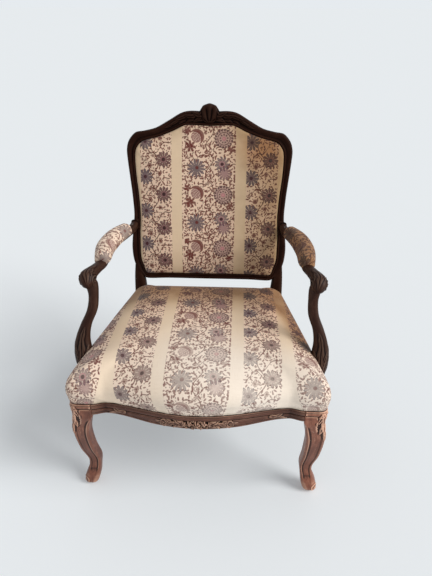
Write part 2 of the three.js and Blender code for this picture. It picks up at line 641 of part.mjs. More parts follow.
const postHoles = (low, high) => {
  const holes = Object.values(SIDES).map((side) => {
    const [near, far] = [(STILE_IN_X - NOTCH) * side, FAR * side];
    return boxBetween(
      v3(Math.min(near, far), STILE_FRONT_Y - NOTCH, low), v3(Math.max(near, far), FAR, high));
  });
  return holes[0].add(holes[1]);
};
const supportHoles = support(-1, NOTCH).add(support(1, NOTCH));

function seatCover() {
  const outside = loft(seatProfile.map((ring) => seatRing(...ring)));
  const lining = seatProfileIn(COVER);
  lining.unshift([lining[0][0], SEAM_Z - 10, 1, 0]);
  const inside = loft(lining.map((ring) => seatRing(...ring)));
  return outside.subtract(inside).subtract(postHoles(SEAM_Z - 20, CROWN_Z)).subtract(supportHoles);
}

// The hessian over the springs, from its middle to its nailed edge.
const HESSIAN_INSET = 12;
const SPRING_TOP_Z = RAIL_TOP_Z + SPRING_RISE;
const hessianRings = (lift) => [
  [SPRING_TOP_Z + CLEARANCE, 0.08], [SPRING_TOP_Z + CLEARANCE, 0.78],
  [RAIL_TOP_Z + CLEARANCE, 0.92], [RAIL_TOP_Z + CLEARANCE, 1],
].map(([z, scale]) => seatRing(HESSIAN_INSET, z + lift, scale));

const seatHessian = () => loft([...hessianRings(0), ...hessianRings(CLOTH).reverse()])
  .subtract(postHoles(SEAM_Z, CROWN_Z)).subtract(supportHoles);

function seatStuffing() {
  const wedge = REBATE - CLEARANCE * 2;
  const below = [
    ...hessianRings(CLOTH + CLEARANCE),
    seatRing(wedge, RAIL_TOP_Z + CLOTH + CLEARANCE * 2),
    seatRing(wedge, SEAM_Z + 9),
  ];
  const above = seatProfileIn(COVER + CLEARANCE).slice(1).map((ring) => seatRing(...ring));
  return loft([...below, ...above]).subtract(postHoles(SEAM_Z, CROWN_Z)).subtract(supportHoles);
}

// A woven strip from start to end, rising and falling where it crosses others.
function webStrip(start, end, crossings, over, low, wave) {
  const along = end.clone().sub(start);
  const length = along.length();
  along.normalize();
  const across = along.clone().cross(AXES[2]).multiplyScalar(WEB_WIDTH / 2);
  const flat = WEB_WIDTH / 2 + 1;
  const stops = crossings.flatMap((at, i) => {
    const rise = (i % 2 === 0) === over ? wave : -wave;
    return [[(at - flat) / length, rise], [(at + flat) / length, rise]];
  });
  stops.unshift([0, wave]);
  stops.push([1, wave]);
  return loft(stops.map(([share, rise]) => {
    const middle = start.clone().addScaledVector(along, length * share).setZ(low + rise);
    const half = v3(0, 0, WEB_THICK / 2);
    return [
      middle.clone().add(across).add(half), middle.clone().sub(across).add(half),
      middle.clone().sub(across).sub(half), middle.clone().add(across).sub(half),
    ];
  }));
}

const WEB_MIDDLE_Z = WEB_Z - CLEARANCE - WEB_WAVE - WEB_THICK / 2;
const WEB_TUCK = 4; // from a strip's end to the lip of its ledge

function seatWebbing() {
  const pitch = WEB_WIDTH * WEB_PITCH;
  const xs = [-1.5, -0.5, 0.5, 1.5].map((k) => k * pitch);
  const ys = [-1.5, -0.5, 0.5, 1.5].map((k) => k * pitch + (FRONT_Y + STILE_REAR_Y) / 2);
  xs.forEach((x, i) => {
    const half = WEB_WIDTH / 2;
    const front = Math.max(frontFaceY(x - half), frontFaceY(x + half), frontFaceY(x));
    const start = v3(x, front + WEB_LIP + WEB_TUCK, 0);
    const end = v3(x, STILE_REAR_Y - WEB_LIP - WEB_TUCK, 0);
    const strip = webStrip(start, end, ys.map((y) => y - start.y), i % 2 === 0, WEB_MIDDLE_Z, WEB_WAVE);
    keep(`seat_webbing_long_${i + 1}`, strip, jute());
  });
  ys.forEach((y, i) => {
    const reach = sideFaceX(y + WEB_WIDTH / 2) - WEB_LIP * SIDE_STRETCH - WEB_TUCK;
    const start = v3(-reach, y, 0);
    const crossings = xs.map((x) => x + reach);
    const strip = webStrip(start, v3(reach, y, 0), crossings, i % 2 !== 0, WEB_MIDDLE_Z, WEB_WAVE);
    keep(`seat_webbing_cross_${i + 1}`, strip, jute());
  });
  return { xs, ys };
}

// A waisted coil spring standing on the webbing.
function spring(x, y) {
  const low = WEB_MIDDLE_Z + WEB_WAVE + WEB_THICK / 2 + CLEARANCE + SPRING_WIRE;
  const high = SPRING_TOP_Z - SPRING_WIRE;
  const steps = Math.round(SPRING_TURNS * 7);
  const at = (share) => {
    const angle = share * SPRING_TURNS * Math.PI * 2;
    const rise = THREE.MathUtils.clamp((share - 0.14) / 0.72, 0, 1);
    const half = mix(SPRING_WAIST, SPRING_HALF, (2 * share - 1) ** 2);
    return v3(x + Math.cos(angle) * half, y + Math.sin(angle) * half, mix(low, high, rise));
  };
  return loft(Array.from({ length: steps + 1 }, (_, i) => {
    const middle = at(i / steps);
    const along = at(Math.min(i / steps + 0.01, 1)).sub(at(Math.max(i / steps - 0.01, 0))).normalize();
    const out = v3(middle.x - x, middle.y - y, 0).normalize().projectOnPlane(along).normalize();
    return oval(middle, out, along.clone().cross(out), SPRING_WIRE, SPRING_WIRE, 2, 4);
  }));
}

function dustCover() {
  const top = WEB_MIDDLE_Z - WEB_WAVE - WEB_THICK / 2 - CLEARANCE;
  const inset = WEB_LIP + 2;
  return loft([seatRing(inset, top), seatRing(inset, top - CLOTH)]);
}

// Corner blocks: glued braces inside the seat's four corners.
const BRACE_FRONT = 70;
const BRACE_DROP = 6; // below the rails' top
const BRACE_TALL = 40;

function cornerBlocks() {
  const [low, high] = [RAIL_TOP_Z - BRACE_DROP - BRACE_TALL, RAIL_TOP_Z - BRACE_DROP];
  const innerX = (y) => sideFaceX(y) - RAIL_THICK * SIDE_STRETCH - CLEARANCE;
  for (const [name, side] of Object.entries(SIDES)) {
    const [inX, rearY] = [BLOCK_IN_X - CLEARANCE, BLOCK_REAR_Y + CLEARANCE];
    const front = [
      [inX - BRACE_FRONT, FRONT_Y + RAIL_THICK / 2], [inX, FRONT_Y + RAIL_THICK / 2], [inX, rearY],
      [innerX(rearY), rearY], [innerX(rearY + BRACE_FRONT), rearY + BRACE_FRONT],
    ];
    const made = extruded(mirroredOutline(front, side), low, high).subtract(frontRail(CLEARANCE));
    keep(`corner_block_front_${name}`, made, beech());
    const [stileX, stileY] = [STILE_IN_X - CLEARANCE, STILE_FRONT_Y - CLEARANCE];
    const railY = STILE_REAR_Y - RAIL_THICK - CLEARANCE;
    const rear = [
      [stileX - BRACE_FRONT + 10, railY], [stileX, railY], [stileX, stileY], [innerX(stileY), stileY],
      [innerX(stileY - BRACE_FRONT), stileY - BRACE_FRONT],
    ];
    keep(`corner_block_rear_${name}`, extruded(mirroredOutline(rear, side), low, high), beech());
  }
}

// Back upholstery, from the ledge forwards.

const LEDGE_OUT = -BACK_REBATE + CLEARANCE;
const HESSIAN_OUT = LEDGE_OUT + 2 * (WEB_THICK + CLEARANCE);
const BACK_EASE = 0.8; // gap between the upholstery's edge and the moulding

function backUpholstery() {
  const reach = SIDE_BAND + BACK_EASE + 2;
  const upright = [-1, 1].map((k) => k * WEB_WIDTH * 1.3);
  upright.forEach((x, i) => {
    const range = [FOOT_UP + FOOT_BAND + 3, CREST_UP - CREST_BAND - 14];
    const across = [x - WEB_WIDTH / 2, x + WEB_WIDTH / 2];
    const strip = backBox(across, range, [LEDGE_OUT, LEDGE_OUT + WEB_THICK]);
    keep(`back_webbing_upright_${i + 1}`, strip, jute());
  });
  [HIP_UP + 30, WAIST_UP + 60].forEach((up, i) => {
    const out = LEDGE_OUT + WEB_THICK + CLEARANCE;
    const half = WAIST_X - reach;
    const tall = [up - WEB_WIDTH / 2, up + WEB_WIDTH / 2];
    const strip = backBox([-half, half], tall, [out, out + WEB_THICK]);
    keep(`back_webbing_level_${i + 1}`, strip, jute());
  });
  const sheet = backRings([[BACK_EASE, 1, HESSIAN_OUT], [BACK_EASE, 1, HESSIAN_OUT + CLOTH]]);
  keep('back_hessian', loft(sheet), jute());

  const hem = HESSIAN_OUT + CLOTH + CLEARANCE;
  const front = [
    [BACK_EASE, 1, hem], [BACK_EASE, 1, 0], [BACK_EASE, 0.975, BACK_CROWN * 0.45],
    [BACK_EASE, 0.86, BACK_CROWN * 0.82], [BACK_EASE, 0.5, BACK_CROWN], [BACK_EASE, 0.08, BACK_CROWN],
  ];
  const within = (gap) =>
    front.map(([inset, scale, out], i) => [inset + gap, scale, i === 0 ? out : out - gap]);
  const inside = [[BACK_EASE + COVER, 1, hem - 5], ...within(COVER).slice(1)];
  keep('back_cover', loft(backRings(front)).subtract(loft(backRings(inside))), print());
  keep('back_stuffing', loft(backRings(within(COVER + CLEARANCE))), hair());

  const rear = -BACK_THICK - CLEARANCE;
  keep('outside_back', loft(backRings([[-4, 1, rear], [-4, 1, rear - COVER]])), print());
}

// Arm pads.

function armPad(side, shrink, drop) {
  const frame = armFrames(side);
  const shareAt = (y) => {
    let [low, high] = [0, 1];
    for (let i = 0; i < 30; i++) {
      const share = (low + high) / 2;
      if (frame(share).middle.y > y) low = share;
      else high = share;
    }
    return low;
  };
  const [start, end] = [shareAt(PAD_BACK_Y - shrink), shareAt(PAD_FRONT_Y + shrink)];
  const steps = 9;
  return loft(Array.from({ length: steps + 1 }, (_, i) => {
    const share = mix(start, end, i / steps);
    const { middle, across, up, size } = frame(share);
    const fade = Math.sin(Math.PI * mix(0.1, 0.9, i / steps)) ** 0.35;
    const base = size.y * 0.2 - drop;
    const arc = Array.from({ length: 8 }, (_, k) => {
      const angle = (k / 7) * Math.PI;
      const reach = Math.sign(Math.cos(angle)) * Math.abs(Math.cos(angle)) ** 0.8;
      const wide = (PAD_HALF_W - shrink) * fade * reach;
      const tall = size.y + (PAD_THICK - shrink) * fade - size.y * 0.2;
      return [wide, size.y * 0.2 + tall * Math.sin(angle) ** 0.75];
    });
    const section = [...arc, [-(PAD_HALF_W - shrink) * fade, base], [(PAD_HALF_W - shrink) * fade, base]];
    const points = drop > 0 ? section : arc;
    return points.map(([a, u]) => middle.clone().addScaledVector(across, a).addScaledVector(up, u));
  }));
}

function armPads() {
  for (const [name, side] of Object.entries(SIDES)) {
    const wood = arm(side, CLEARANCE);
    const outside = armPad(side, 0, 0);
    keep(`arm_pad_cover_${name}`, outside.subtract(armPad(side, COVER, 20)).subtract(wood), print());
    keep(`arm_pad_stuffing_${name}`, armPad(side, COVER + CLEARANCE, 0).subtract(wood), hair());
  }
}

// Joints.

const TENON_Z = mix(WEB_Z, RAIL_TOP_Z, 0.45);

function tenon(from, to, middle, halves, axes) {
  join(from, slab(middle, halves, axes));
  cut(to, slab(middle, halves.map((half) => half + CLEARANCE), axes));
}

function pin(name, start, end, half, through, material) {
  keep(name, rod(start, end, half), material);
  const hole = rod(start.clone().lerp(end, -0.3), end.clone().lerp(start, -0.02), half + CLEARANCE);
  through.forEach((piece) => cut(piece, hole));
}

function seatJoints() {
  const half = MORTISE / 2;
  for (const [name, side] of Object.entries(SIDES)) {
    const railY = BLOCK_FRONT_Y + RAIL_THICK / 2 + 4;
    tenon('front_rail', `front_leg_${name}`, v3((BLOCK_IN_X + half - 2) * side, railY, TENON_Z),
      [half, TENON_THICK / 2, TENON_TALL / 2]);
    const sideX = sideFaceX(BLOCK_REAR_Y) - RAIL_THICK / 2 + 3;
    tenon(`side_rail_${name}`, `front_leg_${name}`, v3(sideX * side, BLOCK_REAR_Y - half + 2, TENON_Z),
      [TENON_THICK / 2, half, TENON_TALL / 2]);
    tenon(`side_rail_${name}`, `rear_leg_${name}`, v3((STILE_X + 6) * side, STILE_FRONT_Y + 5, TENON_Z),
      [TENON_THICK / 2, 9, TENON_TALL / 2]);
    tenon('rear_rail', `rear_leg_${name}`,
      v3((STILE_IN_X + 5) * side, STILE_REAR_Y - REBATE - 6, TENON_Z), [9, 4, TENON_TALL / 2]);

    const pegX = (BLOCK_IN_X + MORTISE * 0.4) * side;
    pin(`front_rail_peg_${name}`, v3(pegX, BLOCK_REAR_Y, TENON_Z + 8), v3(pegX, railY - 10, TENON_Z + 8),
      PEG_HALF, [`front_leg_${name}`, 'front_rail', `corner_block_front_${name}`], beech());
    const pegY = BLOCK_REAR_Y - MORTISE * 0.4;
    pin(`side_rail_peg_${name}`, v3(BLOCK_IN_X * side, pegY, TENON_Z - 9),
      v3((sideX + 10) * side, pegY, TENON_Z - 9), PEG_HALF,
      [`front_leg_${name}`, `side_rail_${name}`, 'front_rail'], beech());
  }
}

function backJoints() {
  for (const [name, side] of Object.entries(SIDES)) {
    const [x, out] = [(EAR_X - 14) * side, -BACK_THICK / 2 - 3];
    const half = MORTISE / 2;
    tenon(`rear_leg_${name}`, 'crest_rail', onBack(x, CREST_JOINT_UP + half - 2, out),
      [7, half, TENON_THICK / 2], BACK_AXES);
    const footUp = FOOT_UP + FOOT_BAND * 0.5;
    tenon('back_bottom_rail', `rear_leg_${name}`, onBack((FOOT_JOINT_X + 7) * side, footUp + 3, out),
      [9, 6, TENON_THICK / 2], BACK_AXES);
    const pegUp = CREST_JOINT_UP + MORTISE * 0.45;
    pin(`crest_peg_${name}`, onBack(x, pegUp, -BACK_THICK), onBack(x, pegUp, -8),
      PEG_HALF, [`rear_leg_${name}`, 'crest_rail'], beech());
  }
}

function armJoints() {
  for (const [name, side] of Object.entries(SIDES)) {
    const at = (WAIST_X + 1) * side;
    pin(`arm_back_screw_${name}`, onBack(at, ARM_UP, -BACK_THICK), onBack(at, ARM_UP, 30),
      SCREW_HALF, [`rear_leg_${name}`, `arm_${name}`], springSteel());
    const footZ = mix(SEAM_Z, RAIL_TOP_Z, 0.2);
    const inner = sideFaceX(SUPPORT_Y) - RAIL_THICK * SIDE_STRETCH;
    pin(`arm_support_screw_${name}`, v3(inner * side, SUPPORT_Y, footZ),
      v3((SUPPORT_X + SUPPORT_SCREW_IN) * side, SUPPORT_Y, footZ), SCREW_HALF,
      [`side_rail_${name}`, `arm_support_${name}`], springSteel());
    const dowel = (z) => v3((KNUCKLE_X - 5) * side, KNUCKLE_Y + 9, z);
    pin(`arm_dowel_${name}`, dowel(ARM_Z - 40), dowel(ARM_Z - 4), PEG_HALF,
      [`arm_${name}`, `arm_support_${name}`], beech());
  }
}

// Assembly.

function frontCarving() {
  const petals = [[0, 12, 11, 5], [24, 10, 9, 4.5], [45, 13, 7, 4], [68, 17, 6, 3.5], [100, 12, 5, 2.5]];
  let carving;
  for (const side of Object.values(SIDES)) {
    for (const [x, long, tall, proud] of petals) {
      const middle = v3(x * side, frontFaceY(x) + 1, LEG_HEIGHT + 17);
      const slope = (frontFaceY(x + 1) - frontFaceY(x - 1)) / 2;
      const across = v3(1, slope * side, 0).normalize();
      const petal = lobe(middle, [long, tall, proud], [across, AXES[2], across.clone().cross(AXES[2])]);
      carving = carving ? carving.add(petal) : petal;
    }
  }
  return carving;
}

keep('front_rail', frontRail().add(frontCarving()), walnut());
keep('rear_rail', rearRail(), beech());
const crest = backRing.intersect(backBox(WIDE, [CREST_JOINT_UP + SAW, FAR * 2], DEEP));
keep('crest_rail', crest.add(crestCarving()), walnut());
const footRange = [-FOOT_JOINT_X + SAW, FOOT_JOINT_X - SAW];
keep('back_bottom_rail', backRing.intersect(backBox(footRange, [-FAR, HIP_UP], DEEP)), walnut());
for (const [name, side] of Object.entries(SIDES)) {
  keep(`front_leg_${name}`, frontLeg(side), walnut());
  keep(`rear_leg_${name}`, rearLeg(side), walnut());
  keep(`arm_${name}`, arm(side, 0), walnut());
  keep(`side_rail_${name}`, sideRail(side).subtract(support(side, CLEARANCE)), walnut());
  keep(`arm_support_${name}`, support(side, 0).subtract(arm(side, CLEARANCE)), walnut());
}
cornerBlocks();
seatJoints();
backJoints();
armJoints();

const { ys } = seatWebbing();
const [frontRow, , , backRow] = ys;
const springSpots = [
  [0, (frontRow + backRow) / 2], [-1, frontRow], [1, frontRow], [-1, backRow], [1, backRow],
];
springSpots.forEach(([k, y], i) => {
  keep(`seat_spring_${i + 1}`, spring(k * WEB_WIDTH * WEB_PITCH, y), springSteel());
});
keep('seat_hessian', seatHessian(), jute());
keep('seat_stuffing', seatStuffing(), hair());
keep('seat_cover', seatCover(), print());
keep('dust_cover', dustCover(), dustCloth());
for (const side of Object.values(SIDES)) {
  const corners = [
    [BLOCK_IN_X - 1, FAR, -FAR, BLOCK_REAR_Y + 1], [STILE_IN_X - 1, FAR, STILE_FRONT_Y - 1, FAR],
  ];
  for (const [x0, x1, y0, y1] of corners) {
    const xs = [x0 * side, x1 * side].sort((a, b) => a - b);
    cut('dust_cover', boxBetween(v3(xs[0], y0, 0), v3(xs[1], y1, RAIL_TOP_Z)));
  }
}
backUpholstery();
armPads();

const chair = new THREE.Group();
for (const [name, { made, material }] of parts) {
  const { vertProperties, triVerts } = made.getMesh();
  const geometry = new THREE.BufferGeometry();
  geometry.setAttribute('position', new THREE.Float32BufferAttribute(vertProperties, 3));
  geometry.setIndex([...triVerts]);
  geometry.computeVertexNormals();
  const mesh = new THREE.Mesh(geometry, material);
  mesh.name = name;
  chair.add(mesh);
}

// The origin is on the floor, under the middle of the whole chair.
const extent = new THREE.Box3().setFromObject(chair);
const middle = extent.getCenter(v3());
chair.position.set(-middle.x, -middle.y, -extent.min.z);

export default chair;
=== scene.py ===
"""Open armchair of the Louis XV kind: carved walnut, printed cotton upholstery, cabriole legs.

Lengths are millimetres unless a name says otherwise. X is to the right as seen from the front, Y to
the back, Z up, with Y counted from the middle of the chair's own plan."""

import math
from types import SimpleNamespace

import bpy
import numpy as np
from mathutils import Matrix, Vector


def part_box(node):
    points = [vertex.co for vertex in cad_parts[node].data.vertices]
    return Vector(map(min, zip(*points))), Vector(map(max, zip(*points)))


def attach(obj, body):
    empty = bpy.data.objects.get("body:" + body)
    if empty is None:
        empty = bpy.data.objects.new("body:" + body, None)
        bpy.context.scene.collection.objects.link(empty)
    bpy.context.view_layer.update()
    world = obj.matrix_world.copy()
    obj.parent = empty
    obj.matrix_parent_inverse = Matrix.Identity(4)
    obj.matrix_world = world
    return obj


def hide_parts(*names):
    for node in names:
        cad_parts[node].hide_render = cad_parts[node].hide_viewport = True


bl_info = {
    "name": "Open Armchair",
    "version": (1, 0, 0),
    "blender": (4, 5, 0),
    "location": "3D View > Sidebar > Armchair",
    "description": "Builds a carved open armchair with printed cotton upholstery",
    "category": "Object",
}

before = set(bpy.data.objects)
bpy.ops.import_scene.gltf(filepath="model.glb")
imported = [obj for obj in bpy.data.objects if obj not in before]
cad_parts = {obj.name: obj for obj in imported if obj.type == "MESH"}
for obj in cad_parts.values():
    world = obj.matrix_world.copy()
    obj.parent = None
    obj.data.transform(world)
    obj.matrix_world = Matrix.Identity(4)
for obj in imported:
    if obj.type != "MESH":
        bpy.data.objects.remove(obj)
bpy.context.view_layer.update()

# Seat rails and front legs.
LEG_HEIGHT = 300.0
SEAM_Z = 345.0
RAIL_TOP_Z = 372.0
WEB_Z = 312.0
RAIL_THICK = 32.0
REBATE = 8.0
FRONT_Y, FRONT_BOW = -266.0, 44.0
BLOCK_IN_X, BLOCK_OUT_X = 290.0, 350.0
BLOCK_FRONT_Y, BLOCK_REAR_Y = -276.0, -222.0
BLOCK_ROUND = 20.0
SIDE_ARCH = 8.0
STILE_FRONT_Y, STILE_REAR_Y = 231.3, 267.3
STILE_IN_X, STILE_OUT_X = 214.0, 258.0
SIDE_FRONT_X = 346.0
SIDE_SLOPE = (STILE_OUT_X - SIDE_FRONT_X) / (STILE_FRONT_Y - BLOCK_REAR_Y)
REAR_TURN = 30.0
SEAT_MIDDLE_Y = (FRONT_Y + STILE_REAR_Y) / 2

# The back's leaning plane.
BACK_FOOT = np.array([0, 252.0, 460.0])
LEAN = math.radians(12)
UP = np.array([0, math.sin(LEAN), math.cos(LEAN)])
OUT = np.array([0, -math.cos(LEAN), math.sin(LEAN)])
BACK_THICK = 34.0
BACK_MIDDLE = np.array([0, 280.0])
CREST_JOINT_UP = 400.0
FOOT_JOINT_X = 205.0
JOINT_SHARE = 0.00006

# Arms.
ARM_Z = 634.0
KNUCKLE_Y = -84.0
SIDES = {"left": -1, "right": 1}

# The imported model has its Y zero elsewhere: the rear rail's rear face says by how much.
SHIFT_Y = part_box("rear_rail")[1].y * 1000 - (STILE_REAR_Y + 1.5)


def in_frame(points):
    """Points in millimetres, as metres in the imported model's frame."""
    return (np.asarray(points, float) + [0, SHIFT_Y, 0]) / 1000


def on_back(x, up, out):
    """Points of the back's leaning plane: x, up along it, and out towards the sitter."""
    x, up, out = np.broadcast_arrays(*[np.asarray(v, float) for v in (x, up, out)])
    return BACK_FOOT + x[..., None] * [1.0, 0, 0] + up[..., None] * UP + out[..., None] * OUT


def ramp(value, low, high):
    share = np.clip((np.asarray(value, float) - low) / (high - low), 0, 1)
    return share * share * (3 - 2 * share)


def mix(a, b, share):
    return a + (b - a) * share


def linear(*screen):
    """A colour given in screen values from 0 to 255."""
    return tuple(c / 255 / 12.92 if c < 10.5 else ((c / 255 + 0.055) / 1.055) ** 2.4 for c in screen)


# Curves and surfaces.


def curve(points, shares, closed=False, tension=0.5):
    """A smooth curve through points, at shares from 0 to 1 of its spans."""
    p = np.asarray(points, float)
    spans = len(p) if closed else len(p) - 1
    at = np.asarray(shares, float) * spans
    i = np.clip(np.floor(at).astype(int), 0, spans - 1)
    f = (at - i)[:, None]
    if closed:
        p0, p1, p2, p3 = (p[(i + k) % len(p)] for k in (-1, 0, 1, 2))
    else:
        more = np.vstack([2 * p[0] - p[1], p, 2 * p[-1] - p[-2]])
        p0, p1, p2, p3 = (more[i + k] for k in range(4))
    m1, m2 = tension * (p2 - p0), tension * (p3 - p1)
    start = (2 * f**3 - 3 * f**2 + 1) * p1 + (f**3 - 2 * f**2 + f) * m1
    return start + (3 * f**2 - 2 * f**3) * p2 + (f**3 - f**2) * m2


def steps(count):
    return np.linspace(0, 1, count)


def walked(points):
    """How far along a line each of its points lies."""
    return np.concatenate([[0], np.cumsum(np.linalg.norm(np.diff(points, axis=0), axis=1))])


def even(points, count):
    """A line through points, walked in even steps."""
    run = walked(points)
    at = np.linspace(0, run[-1], count)
    return np.stack([np.interp(at, run, column) for column in points.T], -1)


def unit_oval(power, count):
    """A closed rounded ring of half size 1, in even steps: power 2 is an oval, larger ones squarer."""
    angle = np.linspace(0, 2 * math.pi, 721)
    c, s = np.cos(angle), np.sin(angle)
    ring = np.stack([np.sign(c) * abs(c) ** (2 / power), np.sign(s) * abs(s) ** (2 / power)], -1)
    return even(ring, count + 1)[:-1]


def unit(vectors):
    return vectors / np.maximum(np.linalg.norm(vectors, axis=-1, keepdims=True), 1e-9)


def blurred(rings, times=4):
    for _ in range(times):
        around = np.roll(rings, 1, 1) + np.roll(rings, -1, 1)
        ends = np.concatenate([rings[:1], rings, rings[-1:]])
        rings = rings * 0.5 + around * 0.125 + (ends[2:] + ends[:-2]) * 0.125
    return rings


def outward(rings):
    """Unit normals of a sleeve of rings."""
    lengthways = np.gradient(rings, axis=0)
    around = np.roll(rings, -1, 1) - np.roll(rings, 1, 1)
    normals = unit(np.cross(around, lengthways))
    away = rings - rings.mean(axis=1, keepdims=True)
    return normals * (1 if (normals * away).sum() > 0 else -1)


def sleeve(rings, relief=None, grain=None):
    """A closed surface through rings, with its relief, its grain's place and how raised each point is."""
    base = outward(rings)
    if relief is not None:
        rings = rings + base * relief[..., None]
    raised = ((rings - blurred(rings)) * base).sum(-1)
    n, m, _ = rings.shape
    i, j = np.meshgrid(np.arange(n - 1), np.arange(m), indexing="ij")
    k = (j + 1) % m
    quads = np.stack([i * m + j, i * m + k, (i + 1) * m + k, (i + 1) * m + j], -1).reshape(-1, 4)
    faces = quads.tolist() + [list(range(m))[::-1], list(range((n - 1) * m, n * m))]
    points = rings.reshape(-1, 3)
    a, b, c = (points[quads[:, corner]] for corner in range(3))
    if (np.cross(b - a, c - a) * (a - points.mean(0))).sum() < 0:
        faces = [face[::-1] for face in faces]
    if grain is None:
        middle = rings.mean(1)
        local = rings - middle[:, None]
        run = np.broadcast_to(walked(middle)[:, None], (n, m))
        grain = np.stack([run, local[..., 0], local[..., 1] + local[..., 2]], -1)
    return {"points": points, "faces": faces, "grain": grain.reshape(-1, 3), "raised": raised.reshape(-1)}


def keep_on_points(mesh, **values):
    """Stores named numbers or vectors on a mesh's points."""
    for key, kept in values.items():
        kept = np.asarray(kept, np.float32)
        kind, field = ("FLOAT", "value") if kept.ndim == 1 else ("FLOAT_VECTOR", "vector")
        mesh.attributes.new(key, kind, "POINT").data.foreach_set(field, kept.ravel())


def finished(piece, finish, nodes):
    """Gives a piece its finish, its body and the nodes that it stands for."""
    mesh = piece.data
    mesh.polygons.foreach_set("use_smooth", [True] * len(mesh.polygons))
    mesh.materials.clear()
    mesh.materials.append(finish)
    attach(piece, "root")
    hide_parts(*nodes)
    return piece


def new_piece(name, points, faces, **values):
    """An object from points in millimetres, with named values on its points."""
    mesh = bpy.data.meshes.new(name)
    mesh.from_pydata(in_frame(points).tolist(), [], faces)
    keep_on_points(mesh, **values)
    mesh.validate()
    mesh.update()
    piece = bpy.data.objects.new(name, mesh)
    bpy.context.scene.collection.objects.link(piece)
    return piece


def wooden(name, sleeves, finish, node):
    """One wooden member from its sleeves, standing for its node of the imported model."""
    faces, first = [], 0
    for part in sleeves:
        faces += [[first + v for v in face] for face in part["faces"]]
        first += len(part["points"])
    points = np.vstack([part["points"] for part in sleeves])
    grain = np.vstack([part["grain"] + [0, 0, 37.0 * k] for k, part in enumerate(sleeves)])
    raised = np.concatenate([part["raised"] for part in sleeves])
    piece = finished(new_piece(name, points, faces, grain=grain, raised=raised), finish, [node])
    piece.data.set_sharp_from_angle(angle=math.radians(50))


# Carving, as heights over a place (u, v) on a face.


def leaf(u, v, length, width, height, angle=0.0, bend=0.0):
    """A carved leaf with a sunk midrib and ribbed sides."""
    c, s = math.cos(angle), math.sin(angle)
    a, b = (u * c + v * s) / length, (v * c - u * s)
    b = (b - bend * width * a * a) / width
    taper = np.clip(1 - 0.35 * a, 0.3, 2)
    body = np.clip(1 - a * a - (b / taper) ** 2, 0, 1)
    rib = 0.5 + 0.5 * np.cos(9 * (a + 0.7 * abs(b)))
    return height * np.sqrt(body) * (1 - 0.5 * np.exp(-((b / 0.14) ** 2))) * (0.78 + 0.22 * rib)


def leaves(u, v, rows):
    """The highest of some leaves. Each row says where it lies, then its sizes as leaf takes them."""
    return np.max([leaf(u - at, v - up, *sizes) for at, up, *sizes in rows], axis=0)


def blossom(u, v, radius, petals, height, turn=0.0):
    r, angle = np.hypot(u, v) / radius, np.arctan2(v, u)
    petal = np.cos(petals * angle / 2 + turn) ** 2
    body = np.sqrt(np.clip(1 - (r / (0.62 + 0.38 * petal)) ** 2, 0, 1))
    return height * (body * (0.5 + 0.5 * petal) + 0.55 * np.exp(-((r / 0.24) ** 2)))


def whorl(u, v, radius, width, height, turns=1.6, hand=1, start=0.0):
    """A raised spiral band that winds in to an eye."""
    r = np.hypot(u, v)
    angle = (hand * np.arctan2(v, u) - start) / (2 * math.pi)
    pitch = radius / (turns + 0.35)
    lap = (radius - r) / pitch - angle
    off = (lap - np.round(lap)) * pitch
    inside = (r < radius + width) * (r > pitch * 0.25)
    return height * (np.exp(-((off / width) ** 2)) * inside + np.exp(-((r / (0.3 * pitch)) ** 2)))


# Wood members.

FACE_ROWS = 72
RAIL_BEADS = [
    (345, -0.4), (343.8, 1.4), (341.5, 2.2), (339.6, 1.0), (338.6, -1.8), (337.4, 0.6), (335, 2.0),
    (332, 2.2), (329.6, 1.2), (328.6, -1.5), (327, -4.6), (325, -4.2), (323.8, -1.2), (321, 0.8),
]
LOWER_BEAD = [(10, 0.9), (7.6, -0.8), (6.4, 0.5), (4.2, 1.3), (2, 0.2), (0, -3.4)]


def rail_face(z, bottom):
    """How far a rail's moulded face stands out at height z: two beads above, a flat, one bead below."""
    low = [(bottom + above, off) for above, off in LOWER_BEAD]
    heights, offs = zip(*sorted(RAIL_BEADS + low))
    return np.interp(z, heights, offs)


def rail_rings(line, normals, bottoms, face_rows=FACE_ROWS, stretch=1.0):
    """Rings of a rail's section along a line in plan. The face comes first, from the seam down."""
    rings = []
    for (x, y), (nx, ny), bottom in zip(line, normals, bottoms):
        z = np.linspace(SEAM_Z, bottom, face_rows)
        rest = [
            [-8, bottom], [-15, bottom + 1], [-15, WEB_Z], [-RAIL_THICK, WEB_Z], [-RAIL_THICK, 342],
            [-RAIL_THICK, RAIL_TOP_Z], [-REBATE, RAIL_TOP_Z], [-REBATE, SEAM_Z],
        ]
        off, up = np.vstack([np.stack([rail_face(z, bottom), z], -1), rest]).T
        rings.append(np.stack([x + nx * off * stretch, y + ny * off * stretch, up], -1))
    return np.array(rings)


def front_face_y(x):
    share = np.minimum(abs(np.asarray(x, float)) / BLOCK_IN_X, 1)
    bow = 0.5 + 0.5 * np.cos(math.pi * np.minimum(share / 0.86, 1))
    return mix(FRONT_Y - FRONT_BOW * bow**0.7, BLOCK_FRONT_Y, ramp(share, 0.86, 1))


def front_normals(x):
    slope = (front_face_y(x + 1.5) - front_face_y(x - 1.5)) / 3
    slope = np.where(abs(x) > BLOCK_IN_X - 1.6, 0, slope)
    return unit(np.stack([slope, -np.ones_like(x)], -1))


def side_face_x(y):
    return SIDE_FRONT_X + SIDE_SLOPE * (y - BLOCK_REAR_Y)


